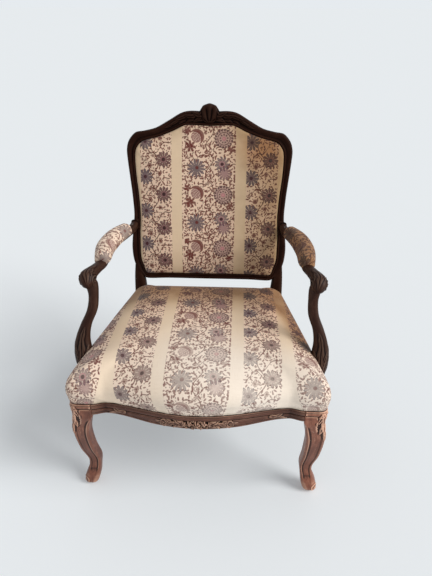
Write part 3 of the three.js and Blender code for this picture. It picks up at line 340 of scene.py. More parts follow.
RAIL_FLOWERS = [
    (0, 1, 12.5, 6, 6.5, 0.2), (-19, 3, 9.5, 5, 5.2, 0.7), (19, 3, 9.5, 5, 5.2, 0.1),
    (-10, -9, 6, 5, 4, 0.0), (11, -9, 6, 5, 4, 0.5), (-34, 1, 8, 6, 4.4, 0.3), (34, 1, 8, 6, 4.4, 0.9),
    (-28, -8, 4.6, 4, 3.2, 0.0), (28, -8, 4.6, 4, 3.2, 0.4), (-9, 12, 5, 5, 3.6, 0.2),
    (9, 12, 5, 5, 3.6, 0.8),
]
RAIL_LEAVES = [
    (50, 6, 15, 5.5, 3.6, 0.35, 0.8), (50, -4, 16, 5.5, 3.6, -0.3, -0.8), (66, 1, 15, 5, 3.0, 0.05, 0.6),
    (78, -6, 13, 4.4, 2.6, -0.35, -0.6), (80, 7, 12, 4, 2.4, 0.3, 0.6), (97, 1, 15, 4, 2.4, 0.05, 0.4),
    (214, 6, 20, 4.2, 2.2, 0.12, 0.5), (228, 1, 16, 4, 2.0, -0.15, -0.4),
]


def front_carving(x, z):
    """Flowers in the middle of the front rail, with leafy scrolls that run out along it."""
    up = z - (LEG_HEIGHT + 16)
    height = np.max([blossom(x - u, up - v, *sizes) for u, v, *sizes in RAIL_FLOWERS], axis=0)
    for u in (-x, x):
        height = np.maximum(height, leaves(u, up, RAIL_LEAVES))
        scroll = whorl(u - 88, up + 1, 9.5, 1.5, 2.2, 1.2, 1, 0.4)
        height = np.maximum(height, scroll * (u > 70) * (u < 108))
    ground = (1 - ramp(abs(x), 84, 100)) * (1 - ramp(abs(up), 9, 13))
    return np.where(height > 0.2, height + 0.6, -2.6 * ground)


def front_rail():
    outer = np.linspace(117.5, BLOCK_IN_X - 0.03, 74)
    x = np.concatenate([-outer[::-1], np.arange(-116, 116.1, 1.25), outer])
    line = np.stack([x, front_face_y(x)], -1)
    bottoms = LEG_HEIGHT + SIDE_ARCH * ramp(abs(x) / BLOCK_IN_X, 0.35, 0.8)
    rings = rail_rings(line, front_normals(x), bottoms)
    relief = np.zeros(rings.shape[:2])
    relief[:, :FACE_ROWS] = front_carving(x[:, None] + np.zeros(FACE_ROWS), rings[:, :FACE_ROWS, 2])
    along = np.broadcast_to(x[:, None], rings.shape[:2])
    return sleeve(rings, relief, np.stack([along, rings[..., 1] - line[:, None, 1], rings[..., 2]], -1))


def side_rail(side):
    y = np.linspace(BLOCK_REAR_Y + 0.03, STILE_FRONT_Y - 0.03, 90)
    line = np.stack([side_face_x(y) * side, y], -1)
    normals = np.tile([float(side), 0.0], (len(y), 1))
    bottoms = LEG_HEIGHT + SIDE_ARCH * np.sin(math.pi * steps(len(y))) ** 2
    rings = rail_rings(line, normals, bottoms, 60, math.hypot(1, SIDE_SLOPE))
    # The arm's support is let into the rail.
    sunk = support_reach(rings[..., 1], rings[..., 2], 0.4)
    face = side_face_x(rings[..., 1])
    let_in = (sunk > 0) & (abs(rings[..., 0]) > face - sunk)
    rings[..., 0] = np.where(let_in, (face - sunk) * side, rings[..., 0])
    grain = np.stack([rings[..., 1], abs(rings[..., 0]) - face, rings[..., 2]], -1)
    return sleeve(rings, None, grain)


def rear_rail():
    x = np.linspace(-STILE_IN_X + 0.3, STILE_IN_X - 0.3, 60)
    line = np.stack([x, np.full_like(x, STILE_REAR_Y)], -1)
    normals = np.tile([0.0, 1.0], (len(x), 1))
    bottoms = LEG_HEIGHT + SIDE_ARCH * np.sin(math.pi * steps(len(x))) ** 2
    rings = rail_rings(line, normals, bottoms, 48)
    return sleeve(rings, None, rings)


def box_rings(x0, x1, y0, y1, radii, z, arc=13, side=13):
    """Rings with four rounded corners: front right, rear right, rear left, front left. Rows follow z."""
    corners = [(x1, y0, 1, -1, -90), (x1, y1, 1, 1, 0), (x0, y1, -1, 1, 90), (x0, y0, -1, -1, 180)]
    arcs = []
    for (x, y, sx, sy, start), r in zip(corners, radii):
        angle = np.radians(start + np.linspace(0, 90, arc))
        cx, cy, r = (x - sx * r)[:, None], (y - sy * r)[:, None], r[:, None]
        arcs.append(np.stack([cx + r * np.cos(angle), cy + r * np.sin(angle)], -1))
    share = np.linspace(0, 1, side + 2)[1:-1][None, :, None]
    rows = []
    for part, following in zip(arcs, arcs[1:] + arcs[:1]):
        rows += [part, mix(part[:, -1:], following[:, :1], share)]
    plan = np.concatenate(rows, 1)
    return np.concatenate([plan, np.broadcast_to(z[:, None, None], plan.shape[:2] + (1,))], -1)


# Stations of the posts: the middle's x, y and z, then the half sizes in x and y.
FRONT_LEG = [
    (331, -224, 0, 8, 8), (331, -224, 5, 14.5, 14.5), (331, -224, 15, 20.5, 20.5), (327, -220, 33, 22, 22),
    (320, -214, 60, 17.5, 17.5), (317, -214, 96, 17.5, 17.5), (327, -231, 156, 20, 20),
    (332, -243, 222, 22, 22), (327, -247, 270, 25, 24), (321, -248, 309, 26, 23),
]
REAR_LEG = [
    (246, 331.3, 0, 16, 16), (244, 308, 60, 16, 16), (239, 274, 180, 19, 17), (236, 251.3, 306, 21, 17),
    (236, 249.3, 366, 21, 17), (236, 259.7, 411.6, 21, 17), (239, 269, 470, 17, 16),
    (242, 280.8, 520, 11, 13),
]
ARM = [
    (248, 318, 648, 13, 14), (253, 272, 642, 13, 14), (269, 226, 637, 15, 12), (293.3, 165, 632, 16, 12),
    (305, 93, 629, 16, 12), (302, 20, 631, 16, 12), (310.7, -30, 636, 16, 13), (321, -64, 635, 19, 17),
    (324, -84, 630, 22, 21), (321, -102, 621, 15, 14), (318, -111, 615, 4, 4),
]
SUPPORT = [
    (333, -142, 316, 9, 14), (334, -142, 343, 10, 15), (337, -141, 372, 18, 17), (337, -136, 400.2, 24, 20),
    (338, -129, 425.8, 24, 19), (339, -117, 460.3, 20, 16), (331, -105, 496.2, 16, 15),
    (316, -91, 535.8, 15, 14), (313, -79, 576.8, 14, 14), (317, -74, 610.1, 17, 16), (321, -78, 628, 12, 12),
]
DOWN = -math.pi / 2
KNEE_LEAVES = [
    (0, 296, 46, 10, 4.2, DOWN), (-11, 318, 26, 7, 3.4, DOWN - 0.35), (11, 318, 26, 7, 3.4, DOWN + 0.35),
    (-8, 278, 22, 5.5, 2.8, DOWN - 0.3), (8, 278, 22, 5.5, 2.8, DOWN + 0.3), (0, 250, 24, 6, 2.6, DOWN),
]


def front_leg(side):
    runs = ((0, 14, 12), (15.5, 256, 130), (258, LEG_HEIGHT, 40), (301, SEAM_Z, 52))
    z = np.concatenate([np.linspace(*run) for run in runs])
    path = curve(FRONT_LEG, steps(600))
    low = np.minimum(z, LEG_HEIGHT)
    left, right, front, rear = (
        np.interp(low, path[:, 2], path[:, k] + sign * path[:, k + 3]) for k in (0, 1) for sign in (-1, 1)
    )
    half = (right - left) / 2
    turn = 1 - np.sqrt(1 - np.clip((low - 252) / 48, 0, 1) ** 2)
    join = ramp(low, 256, LEG_HEIGHT)
    left = mix(left, BLOCK_IN_X, turn)
    if side > 0:
        left = left - 7 * ramp(z, 30, 200) * (1 - ramp(z, 255, 298))
    soft = half * mix(0.75, 0.34, ramp(z, 16, 60))
    radii = [mix(soft, BLOCK_ROUND, join)] + [mix(soft, 2.5, join)] * 3
    outer, front = mix(right, BLOCK_OUT_X, join), mix(front, BLOCK_FRONT_Y, join)
    rings = box_rings(left, outer, front, mix(rear, BLOCK_REAR_Y, join), radii, z)
    around = rings.shape[1]
    arc = run = 13
    index = np.arange(around)
    relief = np.zeros(rings.shape[:2])
    # The front and the outer side are hollowed between raised edges, from the foot to the rail.
    front_start = 3 * (arc + run) + arc
    tall = ramp(z, 40, 62) * (1 - ramp(z, 276, 296))
    for place in (((index - front_start) % around) / run, (index - arc) / run):
        dish = ramp(place, -0.22, 0.14) * (1 - ramp(place, 0.86, 1.22))
        relief -= 1.2 * tall[:, None] * np.where((place >= -0.25) & (place <= 1.25), dish, 0)
    # Knee leaves down the outer front corner.
    corner = rings[:, arc // 2]
    hand = np.where((index > arc // 2) & (index < around // 2), 1, -1)
    away = np.linalg.norm(rings - corner[:, None], axis=-1) * hand
    drop = np.broadcast_to(z[:, None], away.shape)
    relief -= 2.4 * (ramp(z, 262, 276) * (1 - ramp(z, 318, 324)))[:, None] * (abs(away) < 19)
    for u, v, *sizes in KNEE_LEAVES:
        relief = np.maximum(relief, leaf(away - u, drop - v, *sizes) + np.minimum(relief, 0))
    # The rail's mouldings run on round the block's front and outer side. The toe has a small scroll.
    bead = np.where(z > LEG_HEIGHT, rail_face(z, LEG_HEIGHT), 0) * ramp(z, 318, 330)
    toe = whorl(away, drop - 17, 15, 2.2, 1.6, 1.2) * (abs(away) < 20) * (drop < 36)
    shown = (index <= 2 * arc) | (index >= front_start - 1)
    relief += np.where(shown, bead[:, None] + toe * 0.8, 0)
    relief *= ramp(z, 1, 10)[:, None]
    x, y = rings[..., 0], rings[..., 1]
    face = np.where(y > BLOCK_REAR_Y - 8, side_face_x(y), BLOCK_OUT_X)
    rings[..., 0] = np.where(z[:, None] >= LEG_HEIGHT, np.minimum(x, face), x)
    # Above the seam the block is set back for the cover.
    upper = np.repeat(rings[-1:], 2, 0)
    middle = upper.mean(1, keepdims=True)
    upper = middle + (upper - middle) * [1 - REBATE / 30, 1 - REBATE / 27, 1]
    upper[0, :, 2], upper[1, :, 2] = SEAM_Z - 1, RAIL_TOP_Z
    return [sleeve(rings * [side, 1, 1], relief), sleeve(upper * [side, 1, 1])]


# Back frame.

# The outer edge's x and up from the crest's middle down the right side, and the frame's width there.
BACK_EDGE = [
    (0, 556, 43), (60, 558, 43), (92, 551, 39), (130, 529, 35), (172, 506, 29), (210, 496, 29),
    (240, 490, 34),
    (262, 466, 33), (270, 437, 29), (268, 400.5, 25), (262, 346.7, 22), (255.6, 286.5, 22), (252, 222, 22),
    (258, 167.5, 25), (262, 113, 29), (258, 70, 27), (246, 36, 26), (226, 14, 19), (207.9, 2, 19),
    (135.3, 4, 19), (0, 4, 19),
]
BACK_FRONT = 60


def back_outline(count):
    """The frame's outer and inner edges, clockwise from the crest's middle, as (x, up)."""
    right = np.array(BACK_EDGE, float)
    stations = np.vstack([right, right[1:-1][::-1] * [-1, 1, 1]])
    chord = np.roll(stations, -2, 0) - np.roll(stations, 2, 0)
    inward = -unit(np.stack([-chord[:, 1], chord[:, 0]], -1)) * stations[:, 2:]
    both = np.hstack([stations[:, :2], stations[:, :2] + inward])
    fine = curve(both, np.arange(count) / count, True, 0.45)
    return fine[:, :2], fine[:, 2:]


def back_section(band):
    """The frame's section as (across from its inner edge, out): bead, hollow and broad round."""
    front = [
        (0, -12), (0, -3.0), (0.6, 0.4), (2.6, 2.2), (4.8, 1.6), (6.0, -0.4), (7.0, -2.0),
        (0.34 * band, -2.6),
        (0.46 * band, -1.2), (0.62 * band, 0.8), (0.76 * band, 1.2), (0.88 * band, 0.0), (band - 2.0, -3.0),
        (band, -8.0), (band, -14.0),
    ]
    rest = [
        (band, -22), (band, 5 - BACK_THICK), (band - 3, -BACK_THICK), (band * 0.5, -BACK_THICK),
        (-12, -BACK_THICK), (-12, -22), (-12, -12), (-6, -12),
    ]
    return np.vstack([curve(front, steps(BACK_FRONT)), rest])


CREST_LEAVES = [
    (34, 30, 22, 8, 4.6, 0.15, 0.8), (36, 16, 20, 6, 3.8, -0.25, -0.6), (62, 25, 21, 7, 4.2, 0.05, 0.7),
    (64, 13, 15, 4.4, 2.8, -0.3, -0.6), (90, 24, 20, 6, 3.6, 0.0, 0.6), (112, 20, 17, 4.6, 2.8, -0.05, 0.4),
    (90, 12, 12, 3.4, 2.0, -0.2, -0.4), (132, 17, 14, 3.4, 2.0, 0.0, 0.3),
]


def crest_carving(x, across):
    """Leaves that run out from the crest's shell, over the outer part of its moulding."""
    height = np.maximum(leaves(-x, across, CREST_LEAVES), leaves(x, across, CREST_LEAVES))
    r = np.hypot(x / 27, (across - 30) / 24)
    fan = 0.86 + 0.14 * np.cos(11 * np.arctan2(x, across - 4))
    return np.maximum(height, 8.5 * np.sqrt(np.clip(1 - r * r, 0, 1)) * fan)


def back_part(start, end, count, carved=False):
    """The back frame's sleeve between two shares of its outline."""
    total = 2400
    at = (np.linspace(start + JOINT_SHARE, end - JOINT_SHARE, count) * total) % total
    lines = np.hstack(back_outline(total))
    lines = np.vstack([lines, lines[:1]])
    edges = np.stack([np.interp(at, np.arange(total + 1), column) for column in lines.T], -1)
    outer, inner = edges[:, :2], edges[:, 2:]
    band = np.linalg.norm(outer - inner, axis=1)
    section = np.array([back_section(b) for b in band])
    plan = inner[:, None] + unit(outer - inner)[:, None] * section[..., :1]
    rings = on_back(plan[..., 0], plan[..., 1], section[..., 1])
    relief = None
    if carved:
        band = band[:, None]
        relief = np.zeros(rings.shape[:2])
        x = np.broadcast_to((inner + outer)[:, :1] / 2, (count, BACK_FRONT))
        across = section[:, :BACK_FRONT, 0]
        edge = ramp(across, 4, 8) * (1 - 0.3 * ramp(across, band - 4, band))
        relief[:, :BACK_FRONT] = crest_carving(x, across) * edge
        dome = np.sqrt(np.clip(1 - (plan[..., 0] / 30) ** 2, 0, 1))
        rings = rings + (dome * ramp(section[..., 0], band * 0.5, band) * 20)[..., None] * UP
    run = np.broadcast_to(walked(outer)[:, None], rings.shape[:2])
    return sleeve(rings, relief, np.stack([run, section[..., 0], section[..., 1]], -1))


def outline_share(test):
    """The first share of the back's outline, from the crest down the right side, where test holds."""
    outer, inner = back_outline(4800)
    return np.argmax(test((outer + inner) / 2)[:2400]) / 4800


def post(stations, side, count, power, rows=160):
    path = curve(stations, steps(rows))
    ring = unit_oval(power, count)
    rings = np.repeat(path[:, None, :3], count, 1)
    rings[..., :2] += ring * path[:, None, 3:]
    return rings * [side, 1, 1], path, ring


def plain_box(low, high, turn=None):
    """A small block with eased edges, upright or turned to other axes."""
    z = np.array([low[2], low[2] + 1, high[2] - 1, high[2]])
    ease = np.array([1.0, 0, 0, 1.0])
    radii = [np.full(4, 1.5)] * 4
    rings = box_rings(low[0] + ease, high[0] - ease, low[1] + ease, high[1] - ease, radii, z, 4, 3)
    return sleeve(rings if turn is None else turn(rings))


def rear_leg(side, joint, foot):
    stile = back_part(joint, foot, 420) if side > 0 else back_part(1 - foot, 1 - joint, 420)
    rings, _, _ = post(REAR_LEG, side, 44, 4.0)
    x = sorted((STILE_IN_X * side, STILE_OUT_X * side))
    block = plain_box((x[0], STILE_FRONT_Y, LEG_HEIGHT), (x[1], STILE_REAR_Y - REBATE, RAIL_TOP_Z + 4))
    # The arm's end is seated on the upright.
    x = sorted((236.5 * side, 246.5 * side))
    seat = plain_box((x[0], 178.5, -24), (x[1], 209.5, 2), lambda r: on_back(r[..., 0], r[..., 1], r[..., 2]))
    return [stile, sleeve(rings), block, seat]


# Arms.


def drawn_in(points, side):
    """The left arm and its support have been pulled a little inwards at the front."""
    if side > 0:
        return points
    pull = 8 * ramp(points[..., 2], 430, 600) * ramp(-points[..., 1], -100, 60)
    return points + pull[..., None] * [1.0, 0, 0]


def arm_frames(side, shares):
    path = curve(ARM, shares) * [side, 1, 1, 1, 1]
    near, far = curve(ARM, np.clip(shares - 0.004, 0, 1)), curve(ARM, np.clip(shares + 0.004, 0, 1))
    lengthways = unit((far - near)[:, :3] * [side, 1, 1])
    across = unit(np.cross(lengthways, [0, 0, 1.0]))
    return path[:, :3], across, np.cross(across, lengthways), path[:, 3:]


def along_arm(frames, section):
    """Rings along an arm, from their points across and up from its middle."""
    middle, across, up, _ = frames
    return middle[:, None] + across[:, None] * section[..., :1] + up[:, None] * section[..., 1:]


KNUCKLE_LEAVES = [
    (-16, 0, 34, 9, 2.6), (-8, 10, 20, 5, 1.8, 0.3), (-8, -10, 20, 5, 1.8, -0.3), (8, 0, 22, 10, 2.2),
]
SUPPORT_LEAVES = [
    (0, 430, 46, 11, 3.4, -DOWN), (-11, 412, 34, 6, 2.6, 0.25 - DOWN), (11, 412, 34, 6, 2.6, -0.25 - DOWN),
    (0, 470, 26, 7, 2.2, -DOWN),
]
FLANK_LEAVES = [(0, 428, 30, 7, 2.6, -DOWN), (0, 404, 30, 7, 2.2, -DOWN)]


def arm(side):
    shares = np.concatenate([np.linspace(0.02, 0.6, 110), np.linspace(0.605, 1, 110)])
    frames = arm_frames(side, shares)
    size = frames[3]
    ring = unit_oval(2.6, 64)
    rings = along_arm(frames, ring * size[:, None])
    y, z = rings[..., 1], rings[..., 2]
    wide, lift = ring.T
    # Grooves along both shoulders of the arm, leaves over the knuckle, and a whorl on its cheeks.
    groove = np.exp(-(((abs(wide) - 0.62) / 0.09) ** 2)) * (lift > 0)
    relief = -1.1 * groove * (1 - ramp(-y, 34, 52))
    carved = leaves(KNUCKLE_Y - y, wide * size[:, :1], KNUCKLE_LEAVES)
    relief = np.maximum(relief, np.where(lift > -0.1, carved, relief))
    cheek = whorl(y - KNUCKLE_Y + 2, z - (ARM_Z - 5), 17, 1.9, 1.9, 1.5, -1, 0.6)
    relief += cheek * ramp(abs(wide), 0.72, 0.9)
    out = ((rings - BACK_FOOT) * OUT).sum(-1)
    rings = rings + np.maximum(2.3 - out, 0)[..., None] * OUT
    return sleeve(drawn_in(rings, side), relief)


def support_reach(y, z, gap):
    """How far a seat rail or cover is cut back at (y, z) for the arm's support, from the rail's face."""
    path = curve(SUPPORT, steps(400))
    cx, cy, w, d = (np.interp(z, path[:, 2], path[:, k]) for k in (0, 1, 3, 4))
    share = abs(y - cy) / (d + gap)
    inner = cx - (w + gap) * np.clip(1 - share**2.6, 0, 1) ** (1 / 2.6)
    inside = (share < 1) & (z > SUPPORT[0][2] - gap) & (z < SUPPORT[-1][2])
    return np.where(inside, np.maximum(side_face_x(y) - inner, 0), 0)


def arm_support(side):
    rings, path, ring = post(SUPPORT, side, 64, 2.6, 240)
    z = rings[..., 2]
    wide, front = ring[:, 0], -ring[:, 1]
    # Two flutes down the front, and overlapping leaves at the foot.
    flute = np.exp(-(((abs(wide) - 0.38) / 0.13) ** 2)) * (front > 0)
    relief = -1.5 * flute * ramp(z, 448, 476) * (1 - ramp(z, 588, 606))
    carved = leaves(wide * path[:, 3:4], z, SUPPORT_LEAVES)
    relief = np.maximum(relief, np.where(front > -0.2, carved, relief))
    carved = leaves(np.arctan2(-front, wide) * path[:, 4:], z, FLANK_LEAVES)
    relief = np.maximum(relief, np.where(abs(front) < 0.75, carved, relief))
    return sleeve(drawn_in(rings, side), relief)


# Upholstery.


def square_grid(count):
    """A square sheet of (2 count + 1) points a side, with each one's ring from 0 to 1 and place round it."""
    i, j = np.meshgrid(np.arange(-count, count + 1), np.arange(-count, count + 1), indexing="ij")
    k = np.maximum(abs(i), abs(j))
    q = np.select([j == -k, i == k, j == k], [i, 2 * k + j, 4 * k - i], 6 * k - j)
    place = (q / np.maximum(8 * k, 1)) % 1.0
    n = 2 * count + 1
    a = (i + count) * n + (j + count)
    quads = np.stack([a[:-1, :-1], a[1:, :-1], a[1:, 1:], a[:-1, 1:]], -1).reshape(-1, 4)
    half = n // 2
    loop = np.concatenate([a[:-1, 0], a[-1, :-1], a[:0:-1, -1], a[0, :0:-1]])
    return (k / count).ravel(), place.ravel(), quads.tolist(), np.roll(loop, -half).tolist()


def closed(top, under, quads, rim):
    """Points and faces of two square sheets joined along their rims."""
    count = len(top)
    faces = list(quads) + [[v + count for v in face[::-1]] for face in quads]
    faces += [[b, a, a + count, b + count] for a, b in zip(rim, rim[1:] + rim[:1])]
    return np.vstack([top, under]), faces


def line_by_place(sections):
    """A closed line given as five runs between its corners, walked in even steps on each."""
    stops = np.array([0, 1 / 8, 3 / 8, 5 / 8, 7 / 8, 1])
    fine = [even(section, 400) for section in sections]

    def at(place):
        result = np.zeros((len(place), 2))
        for run, start, end in zip(fine, stops, stops[1:]):
            inside = (place >= start) & (place <= end)
            index = (place[inside] - start) / (end - start) * 399
            for k in (0, 1):
                result[inside, k] = np.interp(index, np.arange(400), run[:, k])
        return result

    return at


def away_from(line, place, step=0.004):
    """Unit normals of a closed line, pointing outwards."""
    ahead = line((place + step) % 1) - line((place - step) % 1)
    return unit(np.stack([ahead[:, 1], -ahead[:, 0]], -1))


def mirrored(run):
    return run[::-1] * [-1, 1]


def seat_line():
    """The seat's plan from the middle of its front, to the right, as five runs of (x, y)."""

    def turned(x, y, radius, start, end):
        angle = np.radians(np.linspace(start, end, 40))
        return np.stack([x + radius * np.cos(angle), y + radius * np.sin(angle)], -1)

    x = np.linspace(0, BLOCK_IN_X - 0.3, 120)
    y = np.linspace(BLOCK_REAR_Y, STILE_REAR_Y - REAR_TURN, 60)
    turn = turned(BLOCK_OUT_X - BLOCK_ROUND, BLOCK_FRONT_Y + BLOCK_ROUND, BLOCK_ROUND, -90, 0)
    cx = side_face_x(y[-1]) - REAR_TURN
    heel = turned(cx, y[-1], REAR_TURN, 0, 90)
    first = np.vstack([np.stack([x, front_face_y(x)], -1), turn[1:20]])
    second = np.vstack([turn[19:], np.stack([side_face_x(y), y], -1), heel[1:20]])
    third = np.vstack([heel[19:], [[-cx, STILE_REAR_Y]], mirrored(heel[19:])])
    return [first, second, third, mirrored(second), mirrored(first)]


def by_ring(profile, ring, smooth=True):
    """The columns of a profile, whose first column is the ring, at each ring."""
    profile = np.array(profile, float)
    if not smooth:
        return [np.interp(ring, profile[:, 0], column) for column in profile.T[1:]]
    index = np.interp(ring, profile[:, 0], np.arange(len(profile)))
    return curve(profile[:, 1:], index / (len(profile) - 1)).T


SEAT_PROFILE = [
    # ring, inset, height, scale, bulge
    (0.0, 0, 469, 0, 0), (0.2, 0, 468, 0.3, 0), (0.42, 0, 460, 0.62, 0), (0.61, 0, 445, 0.88, 0),
    (0.72, 0, 430, 0.985, 0.3), (0.785, 0, 409, 1, 0.86), (0.865, 0, 381, 1, 0.95),
    (0.95, -0.6, 354, 1, 0.15), (1.0, 0.2, 345.5, 1, 0),
]
UNDER_SEAT = [
    # ring, inset, height, scale
    (0.0, 12, 396.6, 0), (0.7, 12, 396.4, 0.72), (0.86, 12, 374.4, 0.92), (0.95, 7.3, 374.2, 1),
    (1.0, 7.3, 354, 1),
]
BACK_PROFILE = [
    # ring, scale, out
    (0.0, 0.0, 15.0), (0.4, 0.42, 15.0), (0.7, 0.74, 13.9), (0.86, 0.9, 11.2), (0.93, 0.965, 7.6),
    (0.965, 0.993, 3.2), (0.985, 1.0, -1.0), (1.0, 1.0, -7.0),
]


def wobble(place, seed, waves, size):
    """A closed uneven wave round a line, always the same for a seed."""
    rng = np.random.default_rng(seed)
    total = np.zeros_like(place)
    for count in waves:
        total += np.sin(2 * math.pi * (count * place + rng.random())) * rng.uniform(0.5, 1.0)
    return total * size / len(waves)


def read_points(mesh):
    co = np.empty(len(mesh.vertices) * 3)
    mesh.vertices.foreach_get("co", co)
    return co.reshape(-1, 3)


def points_of(piece):
    """A piece's points, in millimetres in the chair's own plan."""
    return read_points(piece.data) * 1000 - [0, SHIFT_Y, 0]


def move_points(piece, points):
    piece.data.vertices.foreach_set("co", in_frame(points).ravel())
    piece.data.update()


CLOTH = {
    "quality": 6, "mass": 0.25, "tension_stiffness": 12, "compression_stiffness": 12, "shear_stiffness": 4,
    "bending_stiffness": 0.4, "use_pressure": True, "vertex_group_mass": "nailed",
}
CLOTH_STEPS = 20


def stuffed(piece, nailed, pressure, reach):
    """Blows a cover up from inside, held at its nailed points. No point moves more than reach millimetres."""
    group = piece.vertex_groups.new(name="nailed")
    group.add([int(i) for i in nailed], 1.0, "REPLACE")
    cloth = piece.modifiers.new("Cloth", "CLOTH")
    for key, value in CLOTH.items():
        setattr(cloth.settings, key, value)
    cloth.settings.uniform_pressure_force = pressure
    cloth.settings.effector_weights.gravity = 0
    cloth.collision_settings.use_collision = False
    before = read_points(piece.data)
    for number in range(1, CLOTH_STEPS + 1):
        bpy.context.scene.frame_set(number)
    after = read_points(piece.evaluated_get(bpy.context.evaluated_depsgraph_get()).to_mesh())
    piece.to_mesh_clear()
    piece.modifiers.remove(cloth)
    piece.vertex_groups.remove(group)
    bpy.context.scene.frame_set(1)
    move = after - before
    move *= np.minimum(1, reach / 1000 / np.maximum(np.linalg.norm(move, axis=1, keepdims=True), 1e-9))
    if not np.isfinite(move).all():
        raise RuntimeError("the cloth went astray on " + piece.name)
    piece.data.vertices.foreach_set("co", (before + move).ravel())


def remade(piece, points, faces):
    """The piece again under the same name, from other points and faces, and smoothed."""
    name, mesh = piece.name, piece.data
    bpy.data.objects.remove(piece)
    bpy.data.meshes.remove(mesh)
    return smoothed(new_piece(name, points, faces))


def smoothed(piece):
    """One round of subdivision, applied."""
    piece.modifiers.new("Subdivision", "SUBSURF").levels = 1
    mesh = bpy.data.meshes.new_from_object(piece.evaluated_get(bpy.context.evaluated_depsgraph_get()))
    piece.modifiers.clear()
    old, piece.data = piece.data, mesh
    bpy.data.meshes.remove(old)
    return piece


def lay_cloth(piece, places, fade_and_highlight, soil_and_shade, stain_and_shade=0.0):
    """Stores where each point lies on the cloth, and how faded, soiled and stained it is there. These values
    also carry painted highlight and painted shade.
    """
    count = len(places)
    wear = np.column_stack([np.broadcast_to(value, count) for value in (fade_and_highlight, soil_and_shade, stain_and_shade)])
    cloth = np.column_stack([places, np.zeros(count)])
    keep_on_points(piece.data, cloth=cloth, wear=np.clip(wear, 0, 1))


def seat_points(line, ring, place, sag):
    out = away_from(line, place)
    inset, height, scale, bulge = by_ring(SEAT_PROFILE, ring)
    spread = np.where(out[:, 1] < 0, mix(8.0, 22.0, ramp(-out[:, 1], 0.1, 0.9)), 8.0)
    x, y = (line(place) + out * (bulge * spread - inset)[:, None]).T
    x, y = x * scale, mix(SEAT_MIDDLE_Y, y, scale)
    dip = sag * np.exp(-(((x - 20) / 150) ** 2) - ((y - 30) / 150) ** 2)
    return np.stack([x, y, height - dip], -1)


def notch_seat(points):
    """Cuts the cover back round the arm supports and the back's uprights."""
    x, y, z = points.T.copy()
    reach = support_reach(y, z, 1.6)
    edge = side_face_x(y) - reach
    x = np.where((reach > 0) & (abs(x) > edge), np.sign(x) * edge, x)
    post_x, post_y = STILE_IN_X - 1.6, STILE_FRONT_Y - 1.6
    beyond_x, beyond_y = abs(x) - post_x, y - post_y
    corner = (beyond_x > 0) & (beyond_y > 0)
    sideways = corner & (beyond_x < beyond_y)
    x = np.where(sideways, np.sign(x) * post_x, x)
    y = np.where(corner & ~sideways, post_y, y)
    return np.stack([x, y, z], -1)


# How much further out on the cloth a point lies than in plan, by its height.
SURPLUS = [(345, 105), (352, 98), (380, 42), (408, 16), (429, 4.7), (444, 1.9), (460, 0.2), (470, 0)]


def seat_cloth(line, points):
    """The seat's places on its cloth: flat over the crown, folded straight down over the edges."""
    place = np.arange(1200) / 1200
    edge, out = line(place), away_from(line, place, 4 / 1200)
    nearest = np.empty(len(points), int)
    for start in range(0, len(points), 8000):
        part = points[start : start + 8000, None, :2] - edge[None]
        nearest[start : start + 8000] = (part**2).sum(-1).argmin(1)
    surplus = np.interp(points[:, 2], *zip(*SURPLUS))
    return points[:, :2] + out[nearest] * surplus[:, None] + [0, 372]


def make_seat(crown_sag, pressure):
    ring, place, quads, rim = square_grid(50)
    line = line_by_place(seat_line())
    piece = new_piece("seat", seat_points(line, ring, place, crown_sag), quads)
    stuffed(piece, np.nonzero(ring > 0.93)[0], pressure, 7)
    points = points_of(piece)
    # Small tucks where the cover is nailed along the rails.
    hem = ramp(ring, 0.84, 0.97) * (1 - 0.6 * ramp(ring, 0.985, 1))
    away = unit(points[:, :2] - [0, SEAT_MIDDLE_Y])
    points[:, :2] += away * (wobble(place, 5, (61, 83, 97, 118), 2.4) * hem)[:, None]
    points[:, 2] += wobble(place, 8, (37, 52, 71), 1.6) * ramp(ring, 0.95, 1.0)
    # A few soft drags across the crown, as an old cover has.
    x, y = points[:, 0], points[:, 1]
    drag = np.sin((x * 0.9 + y * 0.35) / 21) * np.exp(-(((abs(x) - 250) / 60) ** 2))
    drag += np.sin((y + 0.3 * x) / 26) * np.exp(-(((y + 235) / 50) ** 2))
    points[:, 2] += 0.7 * drag * ramp(points[:, 2], 400, 440)
    points[:, 2] = np.maximum(points[:, 2], SEAM_Z + 0.5)
    # The underside lies on the hessian.
    inset, height, scale = by_ring(UNDER_SEAT, ring, False)
    plan = line(place) - away_from(line, place) * inset[:, None] - [0, SEAT_MIDDLE_Y]
    under = np.column_stack([plan * scale[:, None] + [0, SEAT_MIDDLE_Y], height])
    piece = remade(piece, *closed(points, under, quads, rim))
    points = notch_seat(points_of(piece))
    move_points(piece, points)
    # The sun and the sitter have faded the front, and a painted highlight pales the right front. Painted
    # shade darkens the rear under the back, and the right edge is darker and browner.
    x, y, z = points.T
    # Painted highlight: a pale pool over the right front of the seat, carried by the fade values.
    painted_highlight = np.exp(-(((x - 150) / 240) ** 2) - ((y + 265) / 110) ** 2)
    worn = np.exp(-(((x + 10) / 150) ** 2) - ((y + 130) / 120) ** 2)
    fade_and_highlight = 0.65 * painted_highlight + 0.5 * worn + 0.4 * ramp(-y, 60, 290)
    right_edge = 1 - ramp(side_face_x(y) - x, 16, 84)
    # Painted shade: soil and stain grow towards the rear, under the back. They also darken the hem by the
    # rail and the right edge.
    soil_and_shade = 0.5 * (1 - ramp(z, 346, 362)) + 1.1 * ramp(y, -10, 190) + 1.1 * right_edge * ramp(y, -170, -90)
    stain_and_shade = 0.8 * ramp(y, 0, 200) + right_edge * ramp(y, -160, -80)
    stain_and_shade += 0.4 * ramp(x, 130, 250) * ramp(y, -110, 60)
    lay_cloth(piece, seat_cloth(line, points), fade_and_highlight, soil_and_shade, stain_and_shade)
    return piece


